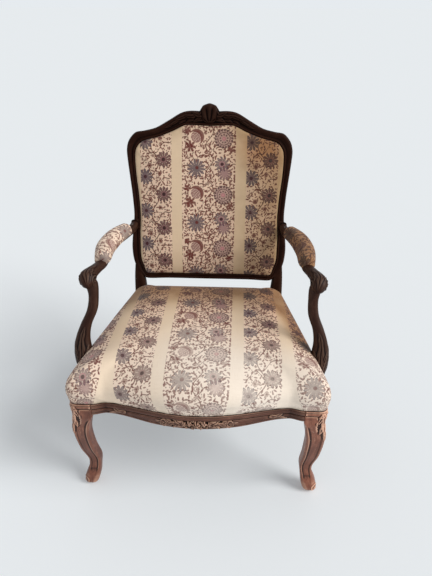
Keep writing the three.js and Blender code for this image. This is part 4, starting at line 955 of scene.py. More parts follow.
def back_line(inset):
    """The back pad's edge from the middle of its foot, to the right, as five runs of (x, up)."""
    outer, inner = back_outline(2400)
    edge = inner + unit(inner - outer) * inset
    half = np.roll(edge[::-1], 1201, 0)[:1201]
    if half[300, 0] < 0:
        half = half * [-1, 1]
    low = int(np.argmax(half[:, 0] - 1.1 * half[:, 1]))
    high = int(np.argmax(half[:, 0] + 0.9 * half[:, 1]))
    first, second, third = half[: low + 1], half[low : high + 1], half[high:]
    return [first, second, np.vstack([third, mirrored(third)[1:]]), mirrored(second), mirrored(first)]


def back_sheet(line, place, scale, out):
    """A sheet over the back: the pad's edge drawn in to its middle by a scale, and set out from the frame."""
    x, up = ((line(place) - BACK_MIDDLE) * scale[:, None] + BACK_MIDDLE).T
    return on_back(x, up, out)


def make_back_pad(pressure):
    ring, place, quads, rim = square_grid(46)
    line = line_by_place(back_line(0.9))
    scale, out = by_ring(BACK_PROFILE, ring)
    piece = new_piece("back_pad", back_sheet(line, place, scale, out), quads)
    stuffed(piece, np.nonzero(ring > 0.955)[0], pressure, 3.5)
    ripple = wobble(place, 11, (43, 67, 88), 0.9) * ramp(ring, 0.8, 0.95) * (1 - ramp(ring, 0.975, 1))
    points = points_of(piece) + ripple[:, None] * OUT
    under = back_sheet(line, place, np.minimum(ring * 1.02, 1), -7.4)
    piece = remade(piece, *closed(points, under, quads, rim))
    local = points_of(piece) - BACK_FOOT
    x, up, out = local[:, 0], local @ UP, local @ OUT
    # Painted shade: soil grows to the right, where the right upright and arm shade the pad. Near the frame it
    # is partly painted shade and partly dirt, and it darkens the top a little.
    soil_and_shade = 0.4 * (1 - ramp(out, 1, 12)) + 0.85 * ramp(x, -20, 200) + 0.15 * ramp(up, 300, 520)
    stain_and_shade = np.exp(-(((x - 165) / 70) ** 2) - ((up - 445) / 60) ** 2) + 0.3 * ramp(x, 100, 240)
    lay_cloth(piece, np.column_stack([x, up - 295]), 0.02, soil_and_shade, stain_and_shade)
    return piece


def make_outside_back():
    """The cloth that closes the back behind, with its area and flat size in metres."""
    ring, place, quads, rim = square_grid(44)
    line = line_by_place(back_line(-4))
    scale = np.sin(ring * math.pi / 2)
    bow = 1.2 * (1 - ring**4) + wobble(place, 21, (5, 9, 13), 0.5) * ring**2 * (1 - ring**8)
    front = back_sheet(line, place, scale, -BACK_THICK - 0.4)
    rear = back_sheet(line, place, scale, -BACK_THICK - 1.6 - bow)
    piece = new_piece("outside_back_cover", *closed(front, rear, quads, rim))
    local = points_of(piece) - BACK_FOOT
    soil_and_shade = ramp(np.concatenate([ring, ring]), 0.9, 1.0)
    lay_cloth(piece, np.column_stack([-local[:, 0], local @ UP - 295]), 0.3, soil_and_shade)
    a, b, c, d = (rear[[face[k] for face in quads]] for k in range(4))
    halves = np.linalg.norm(np.cross(b - a, c - a), axis=1) + np.linalg.norm(np.cross(c - a, d - a), axis=1)
    size = (rear.max(0) - rear.min(0)) / 1000
    return piece, halves.sum() / 2e6, (float(size[0]), float(math.hypot(size[1], size[2])))


def make_arm_pad(side, pressure):
    fine = steps(2000)
    start, end = np.interp([-241, -2], -curve(ARM, fine)[:, 1], fine)
    rows, around = 72, 36
    share = steps(rows)
    frames = arm_frames(side, mix(start, end, share))
    half, thick = frames[3][:, :1], frames[3][:, 1:]
    full = np.sin(math.pi * mix(0.1, 0.9, share)) ** 0.35
    round_off = np.clip(np.minimum(share, 1 - share) / 0.055, 0, 1)
    full = (full * (0.45 + 0.55 * np.sqrt(1 - (1 - round_off) ** 2)))[:, None]
    angle = np.linspace(0, math.pi, around)
    c, s = np.cos(angle), np.sin(angle)
    wide = 29 * full * np.sign(c) * abs(c) ** 0.8
    base = thick * 0.2
    top = np.stack([wide, base + (thick + 32 * full - base) * s**0.75], -1)
    # Underneath, the pad lies on the arm's rounded top.
    reach = np.linspace(-1, 1, 15)
    span = np.minimum(half + 0.4, wide.max(1, keepdims=True) - 1)
    rise = (thick + 0.4) * np.clip(1 - abs(reach * span / (half + 0.5)) ** 2.6, 0.002, 1) ** (1 / 2.6)
    under = np.stack([reach * span, np.maximum(rise, base)], -1)
    rings = along_arm(frames, np.concatenate([top, under], 1))
    shape = sleeve(drawn_in(rings, side))
    piece = new_piece("arm_pad_left" if side < 0 else "arm_pad_right", shape["points"], shape["faces"])
    m = rings.shape[1]
    i, j = np.divmod(np.arange(rows * m), m)
    stuffed(piece, np.nonzero((j < 2) | (j >= around - 2) | (i == 0) | (i == rows - 1))[0], pressure, 2.5)
    points = points_of(piece)
    hem = np.where(j < around, 1 - np.minimum(j, around - 1 - j) / 5, 0).clip(0, 1)
    pucker = wobble(i / rows, 31 + side, (17, 23, 31), 1.3) * hem
    points += outward(points.reshape(rows, m, 3)).reshape(-1, 3) * pucker[:, None]
    move_points(piece, points)
    # The right pad is darkened as painted shade, and the left one paled as painted light.
    fade_and_highlight, soil_and_shade, stain_and_shade = (0.1, 0.95, 1.0) if side > 0 else (0.4, 0.1, 0.0)
    places = np.column_stack([(j - around / 2) / around * 92 * side - 14, i / rows * 224 + 40])
    lay_cloth(piece, places, fade_and_highlight, soil_and_shade + 0.5 * hem, stain_and_shade)
    return smoothed(piece)


# Finishes.


class Number:
    """A number that varies over a surface. Arithmetic on it adds Math nodes."""

    def __init__(self, nodes, socket):
        self.nodes, self.socket = nodes, socket

    def __add__(self, other):
        return self.nodes.math("ADD", self, other)

    __radd__ = __add__

    def __sub__(self, other):
        return self.nodes.math("SUBTRACT", self, other)

    def __rsub__(self, other):
        return self.nodes.math("SUBTRACT", other, self)

    def __mul__(self, other):
        return self.nodes.math("MULTIPLY", self, other)

    __rmul__ = __mul__

    def __abs__(self):
        return self.nodes.math("ABSOLUTE", self)

    def rise(self, low, high):
        """0 at low and 1 at high, with a soft start and end. Low may be the larger."""
        values = {"Value": self, "From Min": low, "From Max": high}
        node = self.nodes.node("ShaderNodeMapRange", {"interpolation_type": "SMOOTHSTEP"}, values)
        return Number(self.nodes, node.outputs[0])


class Nodes:
    """A node tree, with the one way in which nodes are added to it."""

    def __init__(self, tree):
        self.tree = tree

    def feed(self, socket, value):
        """Links a varying value to a socket, or sets a constant on it."""
        value = value.socket if isinstance(value, Number) else value
        if isinstance(value, bpy.types.NodeSocket):
            self.tree.links.new(value, socket)
        elif value is not None:
            socket.default_value = value

    def node(self, kind, settings=None, values=()):
        made = self.tree.nodes.new(kind)
        for key, value in (settings or {}).items():
            setattr(made, key, value)
        for key, value in values.items() if isinstance(values, dict) else enumerate(values):
            self.feed(made.inputs[key], value)
        return made

    def math(self, operation, *values, clamp=False):
        settings = {"operation": operation, "use_clamp": clamp}
        return Number(self, self.node("ShaderNodeMath", settings, values).outputs[0])


class Finish(Nodes):
    """One node material, with the few kinds of nodes that the finishes here need."""

    def __init__(self, name):
        self.material = bpy.data.materials.new(name)
        self.material.use_nodes = True
        super().__init__(self.material.node_tree)
        self.shader = self.tree.nodes["Principled BSDF"]

    def most(self, first, *others):
        for value in others:
            first = self.math("MAXIMUM", first, value)
        return first

    def kept(self, value):
        """A number held between 0 and 1."""
        return self.math("ADD", value, 0.0, clamp=True)

    def wave(self, value):
        return self.math("SINE", value)

    def length(self, u, v):
        return self.math("SQRT", u * u + v * v)

    def wrapped(self, value, period):
        """A number folded into half a period on either side of 0."""
        return self.math("WRAP", value, period / 2, -period / 2)

    def blend(self, share, first, second, how="MIX"):
        """A colour from first to second, or first dyed with second where how is MULTIPLY."""
        first, second = (c if isinstance(c, bpy.types.NodeSocket) else (*c, 1.0) for c in (first, second))
        settings = {"data_type": "RGBA", "blend_type": how}
        return self.node("ShaderNodeMix", settings, {0: share, 6: first, 7: second}).outputs[2]

    def vector(self, operation, *values):
        return self.node("ShaderNodeVectorMath", {"operation": operation}, values).outputs[0]

    def noise(self, place, sizes, detail=2.0, roughness=0.5, distortion=0.0):
        """Soft noise about 0.5, with features as large as sizes, in the place's own unit."""
        values = {"Vector": self.vector("DIVIDE", place, sizes), "Scale": 1.0, "Detail": detail}
        values.update({"Roughness": roughness, "Distortion": distortion})
        return Number(self, self.node("ShaderNodeTexNoise", {}, values).outputs[0])

    def stored(self, name):
        """A value kept on the piece's points, as a vector or a number."""
        settings = {"attribute_type": "GEOMETRY", "attribute_name": name}
        return self.node("ShaderNodeAttribute", settings).outputs

    def split(self, vector):
        node = self.node("ShaderNodeSeparateXYZ", {}, [vector])
        return tuple(Number(self, node.outputs[k]) for k in range(3))

    def place(self):
        """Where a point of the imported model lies, in millimetres."""
        metres = self.node("ShaderNodeTexCoord").outputs["Object"]
        return self.vector("MULTIPLY", metres, (1000.0, 1000.0, 1000.0))

    def bump(self, height, distance, strength):
        values = {"Height": height, "Distance": distance, "Strength": strength}
        return self.node("ShaderNodeBump", {}, values).outputs[0]

    def made(self, colour, roughness, normal=None, **constants):
        values = {"Base Color": colour, "Roughness": roughness, "Normal": normal}
        values.update({key.replace("_", " "): value for key, value in constants.items()})
        for key, value in values.items():
            self.feed(self.shader.inputs[key], value)
        return self.material


def shade(colour, factor):
    return tuple(min(1, c * factor) for c in colour)


def walnut(name, deep, brown, bare, worn, shine):
    """Old polished walnut: dark in the hollows, rubbed paler on what stands out, which is partly wear and
    partly a painted highlight, with open pores.
    """
    f = Finish(name)
    place = f.stored("grain")["Vector"]
    raised = Number(f, f.stored("raised")["Fac"])
    figure = f.noise(place, (90, 14, 14), 3, 0.55, 0.6)
    fibre = f.noise(place, (26, 1.7, 1.7), 3, 0.6)
    pores = f.noise(place, (9, 0.55, 0.55), 1, 0.5).rise(0.64, 0.74)
    patch = f.noise(place, (48, 30, 30), 3, 0.6)
    fleck = f.noise(place, (5, 3.2, 3.2), 2, 0.7).rise(0.69, 0.73)
    scuffed = (patch * fibre).rise(0.3, 0.5) * worn * 0.5
    # Paler on raised parts: polish rubbed away, and a painted highlight on the beads and carving.
    rubbed = f.kept(raised.rise(0.02, 0.28) * (0.3 + patch * 1.2) * worn + scuffed)
    sunk = raised.rise(-0.01, -0.1)
    colour = f.blend(f.kept(figure * 0.9 + fibre * 0.7 - 0.35), deep, brown)
    colour = f.blend(f.kept(patch.rise(0.45, 0.75) * 0.45), colour, shade(brown, 1.25))
    colour = f.blend(rubbed, colour, bare)
    colour = f.blend(f.kept(sunk * 0.95), colour, shade(deep, 0.22))
    colour = f.blend(f.kept(fleck * worn * 0.6), colour, shade(bare, 1.5))
    colour = f.blend(f.kept(pores * 0.55), colour, shade(deep, 0.35))
    gloss = 0.34 + fibre * 0.16 + sunk * 0.3 + rubbed * 0.1
    return f.made(colour, gloss, f.bump(fibre * 0.5 - pores * 0.8, 0.00035, 0.5), Specular_IOR_Level=shine)


def plain_wood(name, pale, brown):
    """Unfinished beech of the inner frame."""
    f = Finish(name)
    place = f.place()
    fibre = f.noise(place, (22, 22, 2.2), 3, 0.6)
    fleck = f.noise(place, (3, 3, 0.7), 1, 0.5).rise(0.6, 0.7)
    colour = f.blend(f.kept(fibre * 1.4 - 0.2), brown, pale)
    colour = f.blend(f.kept(fleck * 0.5), colour, shade(brown, 0.55))
    return f.made(colour, 0.6 + fibre * 0.2, f.bump(fibre, 0.0003, 0.5))


def woven(name, light, dark, pitch):
    """Coarse plain-woven cloth: jute webbing, hessian or dust cloth."""
    f = Finish(name)
    place = f.place()
    x, y, z = f.split(place)
    turn = 2 * math.pi / pitch
    weave = f.wave(x * turn + f.wave(y * turn) * 0.4) * f.wave((y + z) * turn)
    slub = f.noise(place, (pitch * 5, pitch * 5, pitch * 5), 3, 0.65)
    colour = f.blend(f.kept(weave * 0.3 + slub * 1.1 - 0.1), dark, light)
    return f.made(colour, 0.92, f.bump(weave, 0.0006, 0.6), Sheen_Weight=0.15)


def old_steel(name):
    f = Finish(name)
    rust = f.noise(f.place(), (9, 9, 9), 4, 0.65).rise(0.5, 0.66)
    colour = f.blend(rust, linear(122, 118, 112), linear(104, 66, 42))
    return f.made(colour, 0.4 + rust * 0.4, f.bump(rust, 0.0002, 0.5), Metallic=0.8)


def rosette(f, u, v, radius, petals, waist=0.5, turn=0.0):
    """A flower seen from above, as masks of its parts, with each point's distance and angle."""
    r = f.length(u, v)
    angle = f.math("ARCTAN2", v, u)
    spoke = abs(f.math("COSINE", angle * (petals / 2) + turn))
    reach = radius * (waist + (1 - waist) * spoke)
    solid = 1 - spoke.rise(0.3, 0.12) * r.rise(radius * 0.34, radius * 0.5)
    outer = r.rise(radius * 0.3, radius * 0.5) * r.rise(radius * 0.95, radius * 0.8)
    return SimpleNamespace(
        petals=(r - reach).rise(0.9, -0.9) * solid,
        edge=abs(r - reach + 0.9).rise(1.6, 0.6) * solid,
        rib=spoke.rise(0.9, 0.99) * outer,
        eye=r.rise(radius * 0.24, radius * 0.18),
        collar=r.rise(radius * 0.25, radius * 0.3) * r.rise(radius * 0.4, radius * 0.34),
        r=r,
        angle=angle,
    )


def ringed(value, at, half):
    """1 where a value is within half of a given one."""
    return abs(value - at).rise(half * 1.5, half * 0.6)


def spray(f, place, cell, length, width, share, seed):
    """Little leaves strewn over the cloth, each turned its own way."""
    moved = f.vector("ADD", place, (seed * 37.0, seed * 91.0, 0.0))
    scaled = f.vector("DIVIDE", moved, (cell, cell, 1000.0))
    settings = {"voronoi_dimensions": "2D", "feature": "F1"}
    values = {"Vector": scaled, "Scale": 1.0, "Randomness": 0.85}
    near = f.node("ShaderNodeTexVoronoi", settings, values).outputs
    du, dv, _ = f.split(f.vector("SUBTRACT", scaled, near["Position"]))
    lot, turn, _ = f.split(near["Color"])
    c, s = f.math("COSINE", turn * 6.2832), f.math("SINE", turn * 6.2832)
    a = (du * c + dv * s) * (cell / length)
    b = (dv * c - du * s) * (cell / width)
    return (a * a + b * b + a * 0.35 * b).rise(1.15, 0.7) * lot.rise(1 - share, 1 - share + 0.02)


def printed_cotton(name, dyes):
    """Cream cotton printed in stripes of flowers, faded and soiled where the piece says so; the same values
    paint highlight and shade.
    """
    f = Finish(name)
    band_repeat, stripe_repeat = dyes.band_repeat, dyes.stripe_repeat
    at = f.stored("cloth")["Vector"]
    fade_and_highlight, soil_and_shade, stain_and_shade = f.split(f.stored("wear")["Vector"])
    u0, v0, _ = f.split(at)
    u = u0 + (f.noise(at, (12, 12, 12)) - 0.5) * 2.4
    v = v0 + (f.noise(f.vector("DIVIDE", at, (-1, 1, 1)), (8, 8, 8)) - 0.5) * 2.4
    place = f.node("ShaderNodeCombineXYZ", {}, [u, v, 0.0]).outputs[0]
    a = f.math("WRAP", u + 226.0, 346.0, 0.0)
    in_stripe = a.rise(1.0, 3.5) * a.rise(106.0, 103.5)
    in_band = a.rise(138.0, 140.5) * a.rise(314.0, 311.5)
    floral = f.most(in_stripe, in_band)
    # Side stripe: plum and indigo flowers to either side of a winding stem, with buds.
    va, vb = f.wrapped(v, stripe_repeat), f.wrapped(v - stripe_repeat / 2, stripe_repeat)
    plum = rosette(f, a - 79.0, va, 26.0, 12, 0.62)
    indigo = rosette(f, a - 18.0, vb, 26.0, 11, 0.58, 0.4)
    bud_a = rosette(f, a - 33.0, f.wrapped(v + 20.0, stripe_repeat), 8.5, 6, 0.84)
    bud_b = rosette(f, a - 66.0, f.wrapped(v + 44.0, stripe_repeat), 7.5, 6, 0.84)
    stem = abs(a - 50.0 - f.wave(v * (2 * math.pi / stripe_repeat) + 2.2) * 13.0).rise(2.2, 1.2)
    branch = f.wrapped(v - (a - 50.0) * 0.72 + f.wave(a * 0.14) * 7.0 - 24.0, stripe_repeat)
    twig = f.wrapped(v + (a - 40.0) * 0.5 + f.wave(a * 0.1 + 1.0) * 9.0 - 8.0, stripe_repeat)
    twigs = f.most(abs(branch).rise(2.1, 1.1), abs(twig).rise(1.9, 0.9) * a.rise(30.0, 40.0))
    # Middle band: four large flowers in two columns, with tufts and berries.
    vc, vd = f.wrapped(v, band_repeat), f.wrapped(v - band_repeat / 2, band_repeat)
    ul, ur = a - 186.0, a - 274.0
    ring = rosette(f, ur, vc, 31.0, 18, 0.84)
    beads = ringed(ring.r, 26.5, 3.4) * f.wave(ring.angle * 18.0).rise(-0.8, 0.2)
    links = ringed(ring.r, 12.0, 2.4) * f.wave(ring.angle * 9.0).rise(-0.6, 0.4)
    ring_lines = f.most(beads, ringed(ring.r, 19.5, 1.2), links, ringed(ring.r, 5.0, 1.4))
    fan = rosette(f, ul, vd + 4.0, 30.0, 13, 0.46, 0.8)
    heart = f.length(ul - 2.0, vd + 2.0).rise(6.5, 4.5)
    posy = rosette(f, ur + 5.0, vd - 10.0, 24.0, 11, 0.55, 0.3)
    wing = rosette(f, ur - 4.0, vd + 20.0, 24.0, 11, 0.5)
    plume_r, hollow_r = f.length(ul, vc - 5.0), f.length(ul + 7.0, vc + 1.0)
    crescent = plume_r.rise(25.5, 23.5) * hollow_r.rise(21.0, 23.0)
    plume = plume_r.rise(19.0, 17.0)
    barbs = f.wave((ul - vc) * 0.6).rise(0.6, 0.9)
    plume_lines = f.most(f.wave(hollow_r * 1.25).rise(0.0, 0.7), barbs) * plume
    tufts = f.most(
        rosette(f, ul + 20.0, vc + 24.0, 19.0, 7, 0.4, 0.5).petals,
        rosette(f, ul + 29.0, vc - 22.0, 12.0, 5, 0.4, 0.2).petals,
        rosette(f, ur - 23.0, vc + 34.0, 12.0, 5, 0.45, 0.9).petals,
    )
    berry_r = f.length(f.wrapped(a - 226.0, 24.0), f.wrapped(v + 33.0, 24.0))
    clump = ringed(a, 226.0, 16.0) * ringed(f.wrapped(v + 33.0, band_repeat / 2), 0.0, 20.0)
    berries = ringed(berry_r, 4.6, 1.3) * clump
    band_stem = a - 228.0 - f.wave(v * (4 * math.pi / band_repeat)) * 12.0
    band_twig = f.wrapped(v - (a - 226.0) * 0.6 + f.wave(a * 0.12) * 8.0 + 44.0, band_repeat / 2)
    band_twigs = f.most(abs(band_stem).rise(2.1, 1.1), abs(band_twig).rise(2.1, 1.1))
    flowers = [flower.petals for flower in (plum, indigo, ring, fan, posy, wing, bud_a, bud_b)]
    clear = 1 - f.most(*flowers, plume_r.rise(27.0, 25.0), berries)
    fronds = spray(f, place, 15.5, 7.0, 2.6, 0.6, 3) * in_band
    reds = f.most(spray(f, place, 11.5, 5.2, 2.2, 0.8, 1), fronds) * clear * floral
    dots = spray(f, place, 8.5, 2.3, 2.0, 0.62, 2) * clear * floral
    lines = f.most(f.most(stem, twigs) * in_stripe, band_twigs * in_band) * clear
    # The ground, yellower in the plain stripes and whiter where it has faded and where a highlight is
    # painted.
    tint = f.noise(at, (60, 60, 60), 3, 0.6)
    colour = f.blend(floral, dyes.plain, dyes.ground)
    colour = f.blend(f.kept((tint - 0.4) * 0.9), colour, shade(dyes.ground, 0.86))
    colour = f.blend(f.kept(fade_and_highlight * 0.75), colour, dyes.bleach_and_highlight)
    # Each dye's mask, strength and colour, in the order in which they were printed.
    strewn = [(lines, 0.9, dyes.stem), (dots, 0.85, dyes.stem), (reds, 0.9, dyes.red)]
    band = [
        (ring.petals, 0.6, dyes.mauve), (ring_lines, 0.85, dyes.plum), (ring.eye, 0.8, dyes.rose),
        (plume, 0.5, dyes.mauve), (plume_lines, 0.75, dyes.red), (crescent, 0.9, dyes.red),
        (tufts, 0.9, dyes.red), (fan.petals, 0.85, dyes.indigo), (fan.rib, 0.3, dyes.mauve),
        (heart, 0.9, dyes.red), (posy.petals, 0.8, dyes.indigo), (posy.rib, 0.25, dyes.rose),
        (posy.collar, 0.8, dyes.rose), (posy.eye, 1.0, dyes.plum), (wing.petals, 0.8, dyes.mauve),
        (wing.rib, 0.7, dyes.plum), (berries, 0.9, dyes.red),
    ]
    bud_eyes = f.most(bud_a.r.rise(3.0, 1.8), bud_b.r.rise(3.0, 1.8))
    stripe = [
        (plum.petals, 0.92, dyes.plum), (plum.rib, 0.2, dyes.rose), (plum.collar, 0.35, dyes.rose),
        (plum.eye, 1.0, shade(dyes.plum, 0.6)), (indigo.petals, 0.88, dyes.indigo),
        (indigo.rib, 0.25, dyes.mauve), (indigo.collar, 0.5, dyes.mauve), (indigo.eye, 1.0, dyes.plum),
        (f.most(bud_a.petals, bud_b.petals), 0.9, dyes.red), (bud_eyes, 1.0, dyes.stem),
    ]
    patchy = f.noise(at, (14, 14, 14), 3, 0.7)
    strength = f.kept(1.15 - patchy * 0.3 - fade_and_highlight * (0.3 + patchy * 0.45))
    for area, layers in ((1.0, strewn), (in_band, band), (in_stripe, stripe)):
        for mask, share, dye in layers:
            colour = f.blend(f.kept(mask * area * share * strength), colour, dye)
    # The fine outlines outlast the filling.
    lasting = f.kept(0.95 - patchy * 0.25 - fade_and_highlight * 0.2)
    outlines = [
        (f.most(plum.edge * in_stripe, f.most(ring.edge, wing.edge) * in_band), dyes.plum),
        (f.most(indigo.edge * in_stripe, f.most(fan.edge, posy.edge) * in_band), dyes.indigo),
        (f.kept(fade_and_highlight * 1.5) * f.most(reds, lines) * 0.55, dyes.red),
    ]
    for mask, dye in outlines:
        colour = f.blend(f.kept(mask * lasting), colour, dye)
    # Stain and soil darken the cloth: real stains and dirt, and painted shade as well.
    colour = f.blend(f.kept(stain_and_shade * (0.55 + tint * 0.7)), colour, dyes.stain_and_shade, "MULTIPLY")
    colour = f.blend(f.kept(soil_and_shade * (0.6 + tint * 0.8)), colour, dyes.grime_and_shade, "MULTIPLY")
    # Plain weave and uneven threads.
    weave = f.wave(u0 * 4.6) * f.wave(v0 * 4.6)
    threads = f.noise(at, (30, 0.8, 1), 2, 0.6) + f.noise(at, (0.8, 30, 1), 2, 0.6)
    colour = f.blend(f.kept((threads - 0.95) * 0.55), colour, shade(dyes.ground, 0.62))
    height = f.bump(weave * 0.5 + threads, 0.0005, 0.35)
    return f.made(colour, 0.86, height, Sheen_Weight=0.12, Specular_IOR_Level=0.25)


# What a user can change.


def dye(name, description, *screen):
    return bpy.props.FloatVectorProperty(
        name=name, description=description, subtype="COLOR", size=3, min=0, max=1, default=linear(*screen)
    )


def amount(name, description, default, low, high, subtype="NONE"):
    return bpy.props.FloatProperty(
        name=name, description=description, default=default, min=low, max=high, subtype=subtype
    )


class ArmchairWood(bpy.types.PropertyGroup):
    deep: dye("Deep brown", "Darkest polished wood", 50, 19, 10)
    brown: dye("Brown", "Main colour of the polished wood", 102, 62, 46)
    bare: dye("Bare wood", "Wood where the polish is rubbed away", 168, 133, 112)
    worn: amount("Wear", "How much the polish is rubbed from what stands out", 0.6, 0, 1, "FACTOR")


class ArmchairPrint(bpy.types.PropertyGroup):
    ground: dye("Ground", "Cream between the flowers", 233, 203, 178)
    plain: dye("Plain stripe", "Colour of the plain stripes", 226, 200, 168)
    plum: dye("Plum", "Dark flowers of the side stripes", 66, 25, 36)
    indigo: dye("Indigo", "Blue-grey flowers", 56, 46, 66)
    mauve: dye("Mauve", "Second colour of the large flowers", 138, 96, 104)
    rose: dye("Rose", "Pink in the large flowers", 200, 134, 138)
    red: dye("Red", "Buds and leaves", 100, 30, 28)
    stem: dye("Stem", "Stems and seeds", 82, 36, 26)
    # Also the colour of the painted highlights.
    bleach_and_highlight: dye("Bleached", "Where the sun has taken the print", 254, 244, 232)
    # Also darkens the cloth where shade is painted.
    grime_and_shade: dye("Grime", "Soiled edges", 188, 178, 158)
    # Also darkens the cloth where shade is painted.
    stain_and_shade: dye("Stain", "Rusty brown stains", 214, 180, 146)
    band_repeat: amount("Band repeat", "Height of the middle band's repeat, in mm", 178.0, 60, 400)
    stripe_repeat: amount("Stripe repeat", "Height of the side stripe's repeat, in mm", 111.5, 40, 300)


class ArmchairPadding(bpy.types.PropertyGroup):
    sag: amount("Sag", "How far the seat's middle has sunk, in millimetres", 3.0, 0, 25)
    seat_pressure: amount("Seat pressure", "How hard the seat's stuffing pushes its cover out", 3.0, 0, 20)
    back_pressure: amount("Back pressure", "How hard the back's stuffing pushes its cover out", 1.5, 0, 20)


# Each walnut's tone, wear and shine. The tones are lit and shaded copies of one wood: the back is the
# darkest, as painted shade, and the legs the palest, as painted light, the right leg more than the left. The
# legs are also the most rubbed.
WALNUTS = {
    "dark": (0.27, 0.22, 0.04),
    "red": (1.12, 1.5, 0.35),
    "arm": (0.32, 0.9, 0.12),
    "worn left": (2.0, 1.0, 0.4),
    "worn right": (2.6, 1.0, 0.4),
}


def wood_finish(kind):
    """The walnut in one of its shades, made once."""
    name = "Walnut, " + kind
    if name in bpy.data.materials:
        return bpy.data.materials[name]
    wood = bpy.context.scene.armchair_wood
    tone, worn, shine = WALNUTS[kind]
    deep, brown, bare = (tuple(c * tone for c in colour) for colour in (wood.deep, wood.brown, wood.bare))
    return walnut(name, deep, brown, bare, wood.worn * worn, shine)


def covered(piece, fill, *nodes):
    """A piece in the printed cotton, with its stuffing if it has any."""
    name = "Printed cotton"
    if name not in bpy.data.materials:
        printed_cotton(name, bpy.context.scene.armchair_print)
    finished(piece, bpy.data.materials[name], nodes)


class ARMCHAIR_OT_back_frame(bpy.types.Operator):
    """Carves the crest, the uprights with the rear legs, and the back's lower rail"""

    bl_idname = "armchair.back_frame"
    bl_label = "Back frame"

    def execute(self, context):
        # The back frame's dark walnut is painted shade.
        dark = wood_finish("dark")
        joint = outline_share(lambda p: p[:, 1] < CREST_JOINT_UP)
        foot = outline_share(lambda p: (p[:, 0] < FOOT_JOINT_X) & (p[:, 1] < 60))
        wooden("crest", [back_part(1 - joint, 1 + joint, 560, True)], dark, "crest_rail")
        wooden("back_lower_rail", [back_part(foot, 1 - foot, 160)], dark, "back_bottom_rail")
        for name, side in SIDES.items():
            wooden("upright_" + name, rear_leg(side, joint, foot), dark, "rear_leg_" + name)
        return {"FINISHED"}


class ARMCHAIR_OT_seat_rails(bpy.types.Operator):
    """Carves the front rail and moulds the side and rear rails"""

    bl_idname = "armchair.seat_rails"
    bl_label = "Seat rails"

    def execute(self, context):
        red = wood_finish("red")
        wooden("front_rail_carved", [front_rail()], red, "front_rail")
        for name, side in SIDES.items():
            wooden("side_rail_moulded_" + name, [side_rail(side)], red, "side_rail_" + name)
        wooden("rear_rail_moulded", [rear_rail()], wood_finish("dark"), "rear_rail")
        return {"FINISHED"}


class ARMCHAIR_OT_front_legs(bpy.types.Operator):
    """Carves the two cabriole legs"""

    bl_idname = "armchair.front_legs"
    bl_label = "Front legs"

    def execute(self, context):
        for name, side in SIDES.items():
            # Each leg has its own tone; the right leg's paler one is painted light.
            wooden("cabriole_leg_" + name, front_leg(side), wood_finish("worn " + name), "front_leg_" + name)
        return {"FINISHED"}


class ARMCHAIR_OT_arms(bpy.types.Operator):
    """Carves the arms with their scrolled knuckles, and the supports under them"""

    bl_idname = "armchair.arms"
    bl_label = "Arms"

    def execute(self, context):
        wood = wood_finish("arm")
        for name, side in SIDES.items():
            wooden("scrolled_arm_" + name, [arm(side)], wood, "arm_" + name)
            wooden("swept_support_" + name, [arm_support(side)], wood, "arm_support_" + name)
        return {"FINISHED"}


class ARMCHAIR_OT_seat(bpy.types.Operator):
    """Stuffs and covers the sprung seat"""

    bl_idname = "armchair.seat"
    bl_label = "Seat"

    def execute(self, context):
        padding = context.scene.armchair_padding
        covered(make_seat(padding.sag, padding.seat_pressure), 0.7, "seat_cover", "seat_stuffing")
        return {"FINISHED"}


class ARMCHAIR_OT_back(bpy.types.Operator):
    """Stuffs and covers the back, and closes it behind"""

    bl_idname = "armchair.back"
    bl_label = "Back"

    def execute(self, context):
        pressure = context.scene.armchair_padding.back_pressure
        covered(make_back_pad(pressure), 0.8, "back_cover", "back_stuffing")
        sheet, area, size = make_outside_back()
        covered(sheet, None, "outside_back")
        return {"FINISHED"}


class ARMCHAIR_OT_arm_pads(bpy.types.Operator):
    """Stuffs and covers the two arm pads"""

    bl_idname = "armchair.arm_pads"
    bl_label = "Arm pads"

    def execute(self, context):
        pressure = context.scene.armchair_padding.back_pressure
        for name, side in SIDES.items():
            covered(make_arm_pad(side, pressure), 0.85, "arm_pad_cover_" + name, "arm_pad_stuffing_" + name)
        return {"FINISHED"}


class ARMCHAIR_OT_inner_parts(bpy.types.Operator):
    """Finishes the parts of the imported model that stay, such as webbing, springs and corner blocks"""

    bl_idname = "armchair.inner_parts"
    bl_label = "Inner parts"

    def execute(self, context):
        beech = plain_wood("Beech", linear(186, 150, 108), linear(142, 104, 68))
        steel = old_steel("Spring steel")
        finishes = {
            "webbing": woven("Jute webbing", linear(176, 148, 104), linear(120, 94, 60), 2.4),
            "hessian": woven("Hessian", linear(170, 146, 106), linear(112, 90, 60), 1.6),
            "dust_cover": woven("Dust cloth", linear(58, 54, 52), linear(28, 26, 26), 0.9),
            **dict.fromkeys(("corner_block", "peg", "dowel"), beech),
            **dict.fromkeys(("spring", "screw"), steel),
        }
        for name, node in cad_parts.items():
            if node.hide_render:
                continue
            fitting = [finish for word, finish in finishes.items() if word in name]
            if not fitting:
                raise RuntimeError("no finish for " + name)
            node.data.materials.clear()
            node.data.materials.append(fitting[0])
        return {"FINISHED"}


BACKDROP = linear(230, 235, 239)
FLOOR_HALF_M = 400.0
FLOOR_LIT, FLOOR_GLOW = 0.87, 0.22
SKY_LIGHT = 0.42
SUN_POWER, SUN_WIDTH_DEGREES, SUN_WAY = 2.6, 34, (-1.3, 0.5, -1.0)
LENS, SENSOR = 33.09, 36.0
EYE_M = (0.0962, -1.3774 + SHIFT_Y / 1000, 1.3)
YAW, PITCH, ROLL = math.radians(-2.417), math.radians(28.064), math.radians(0.164)


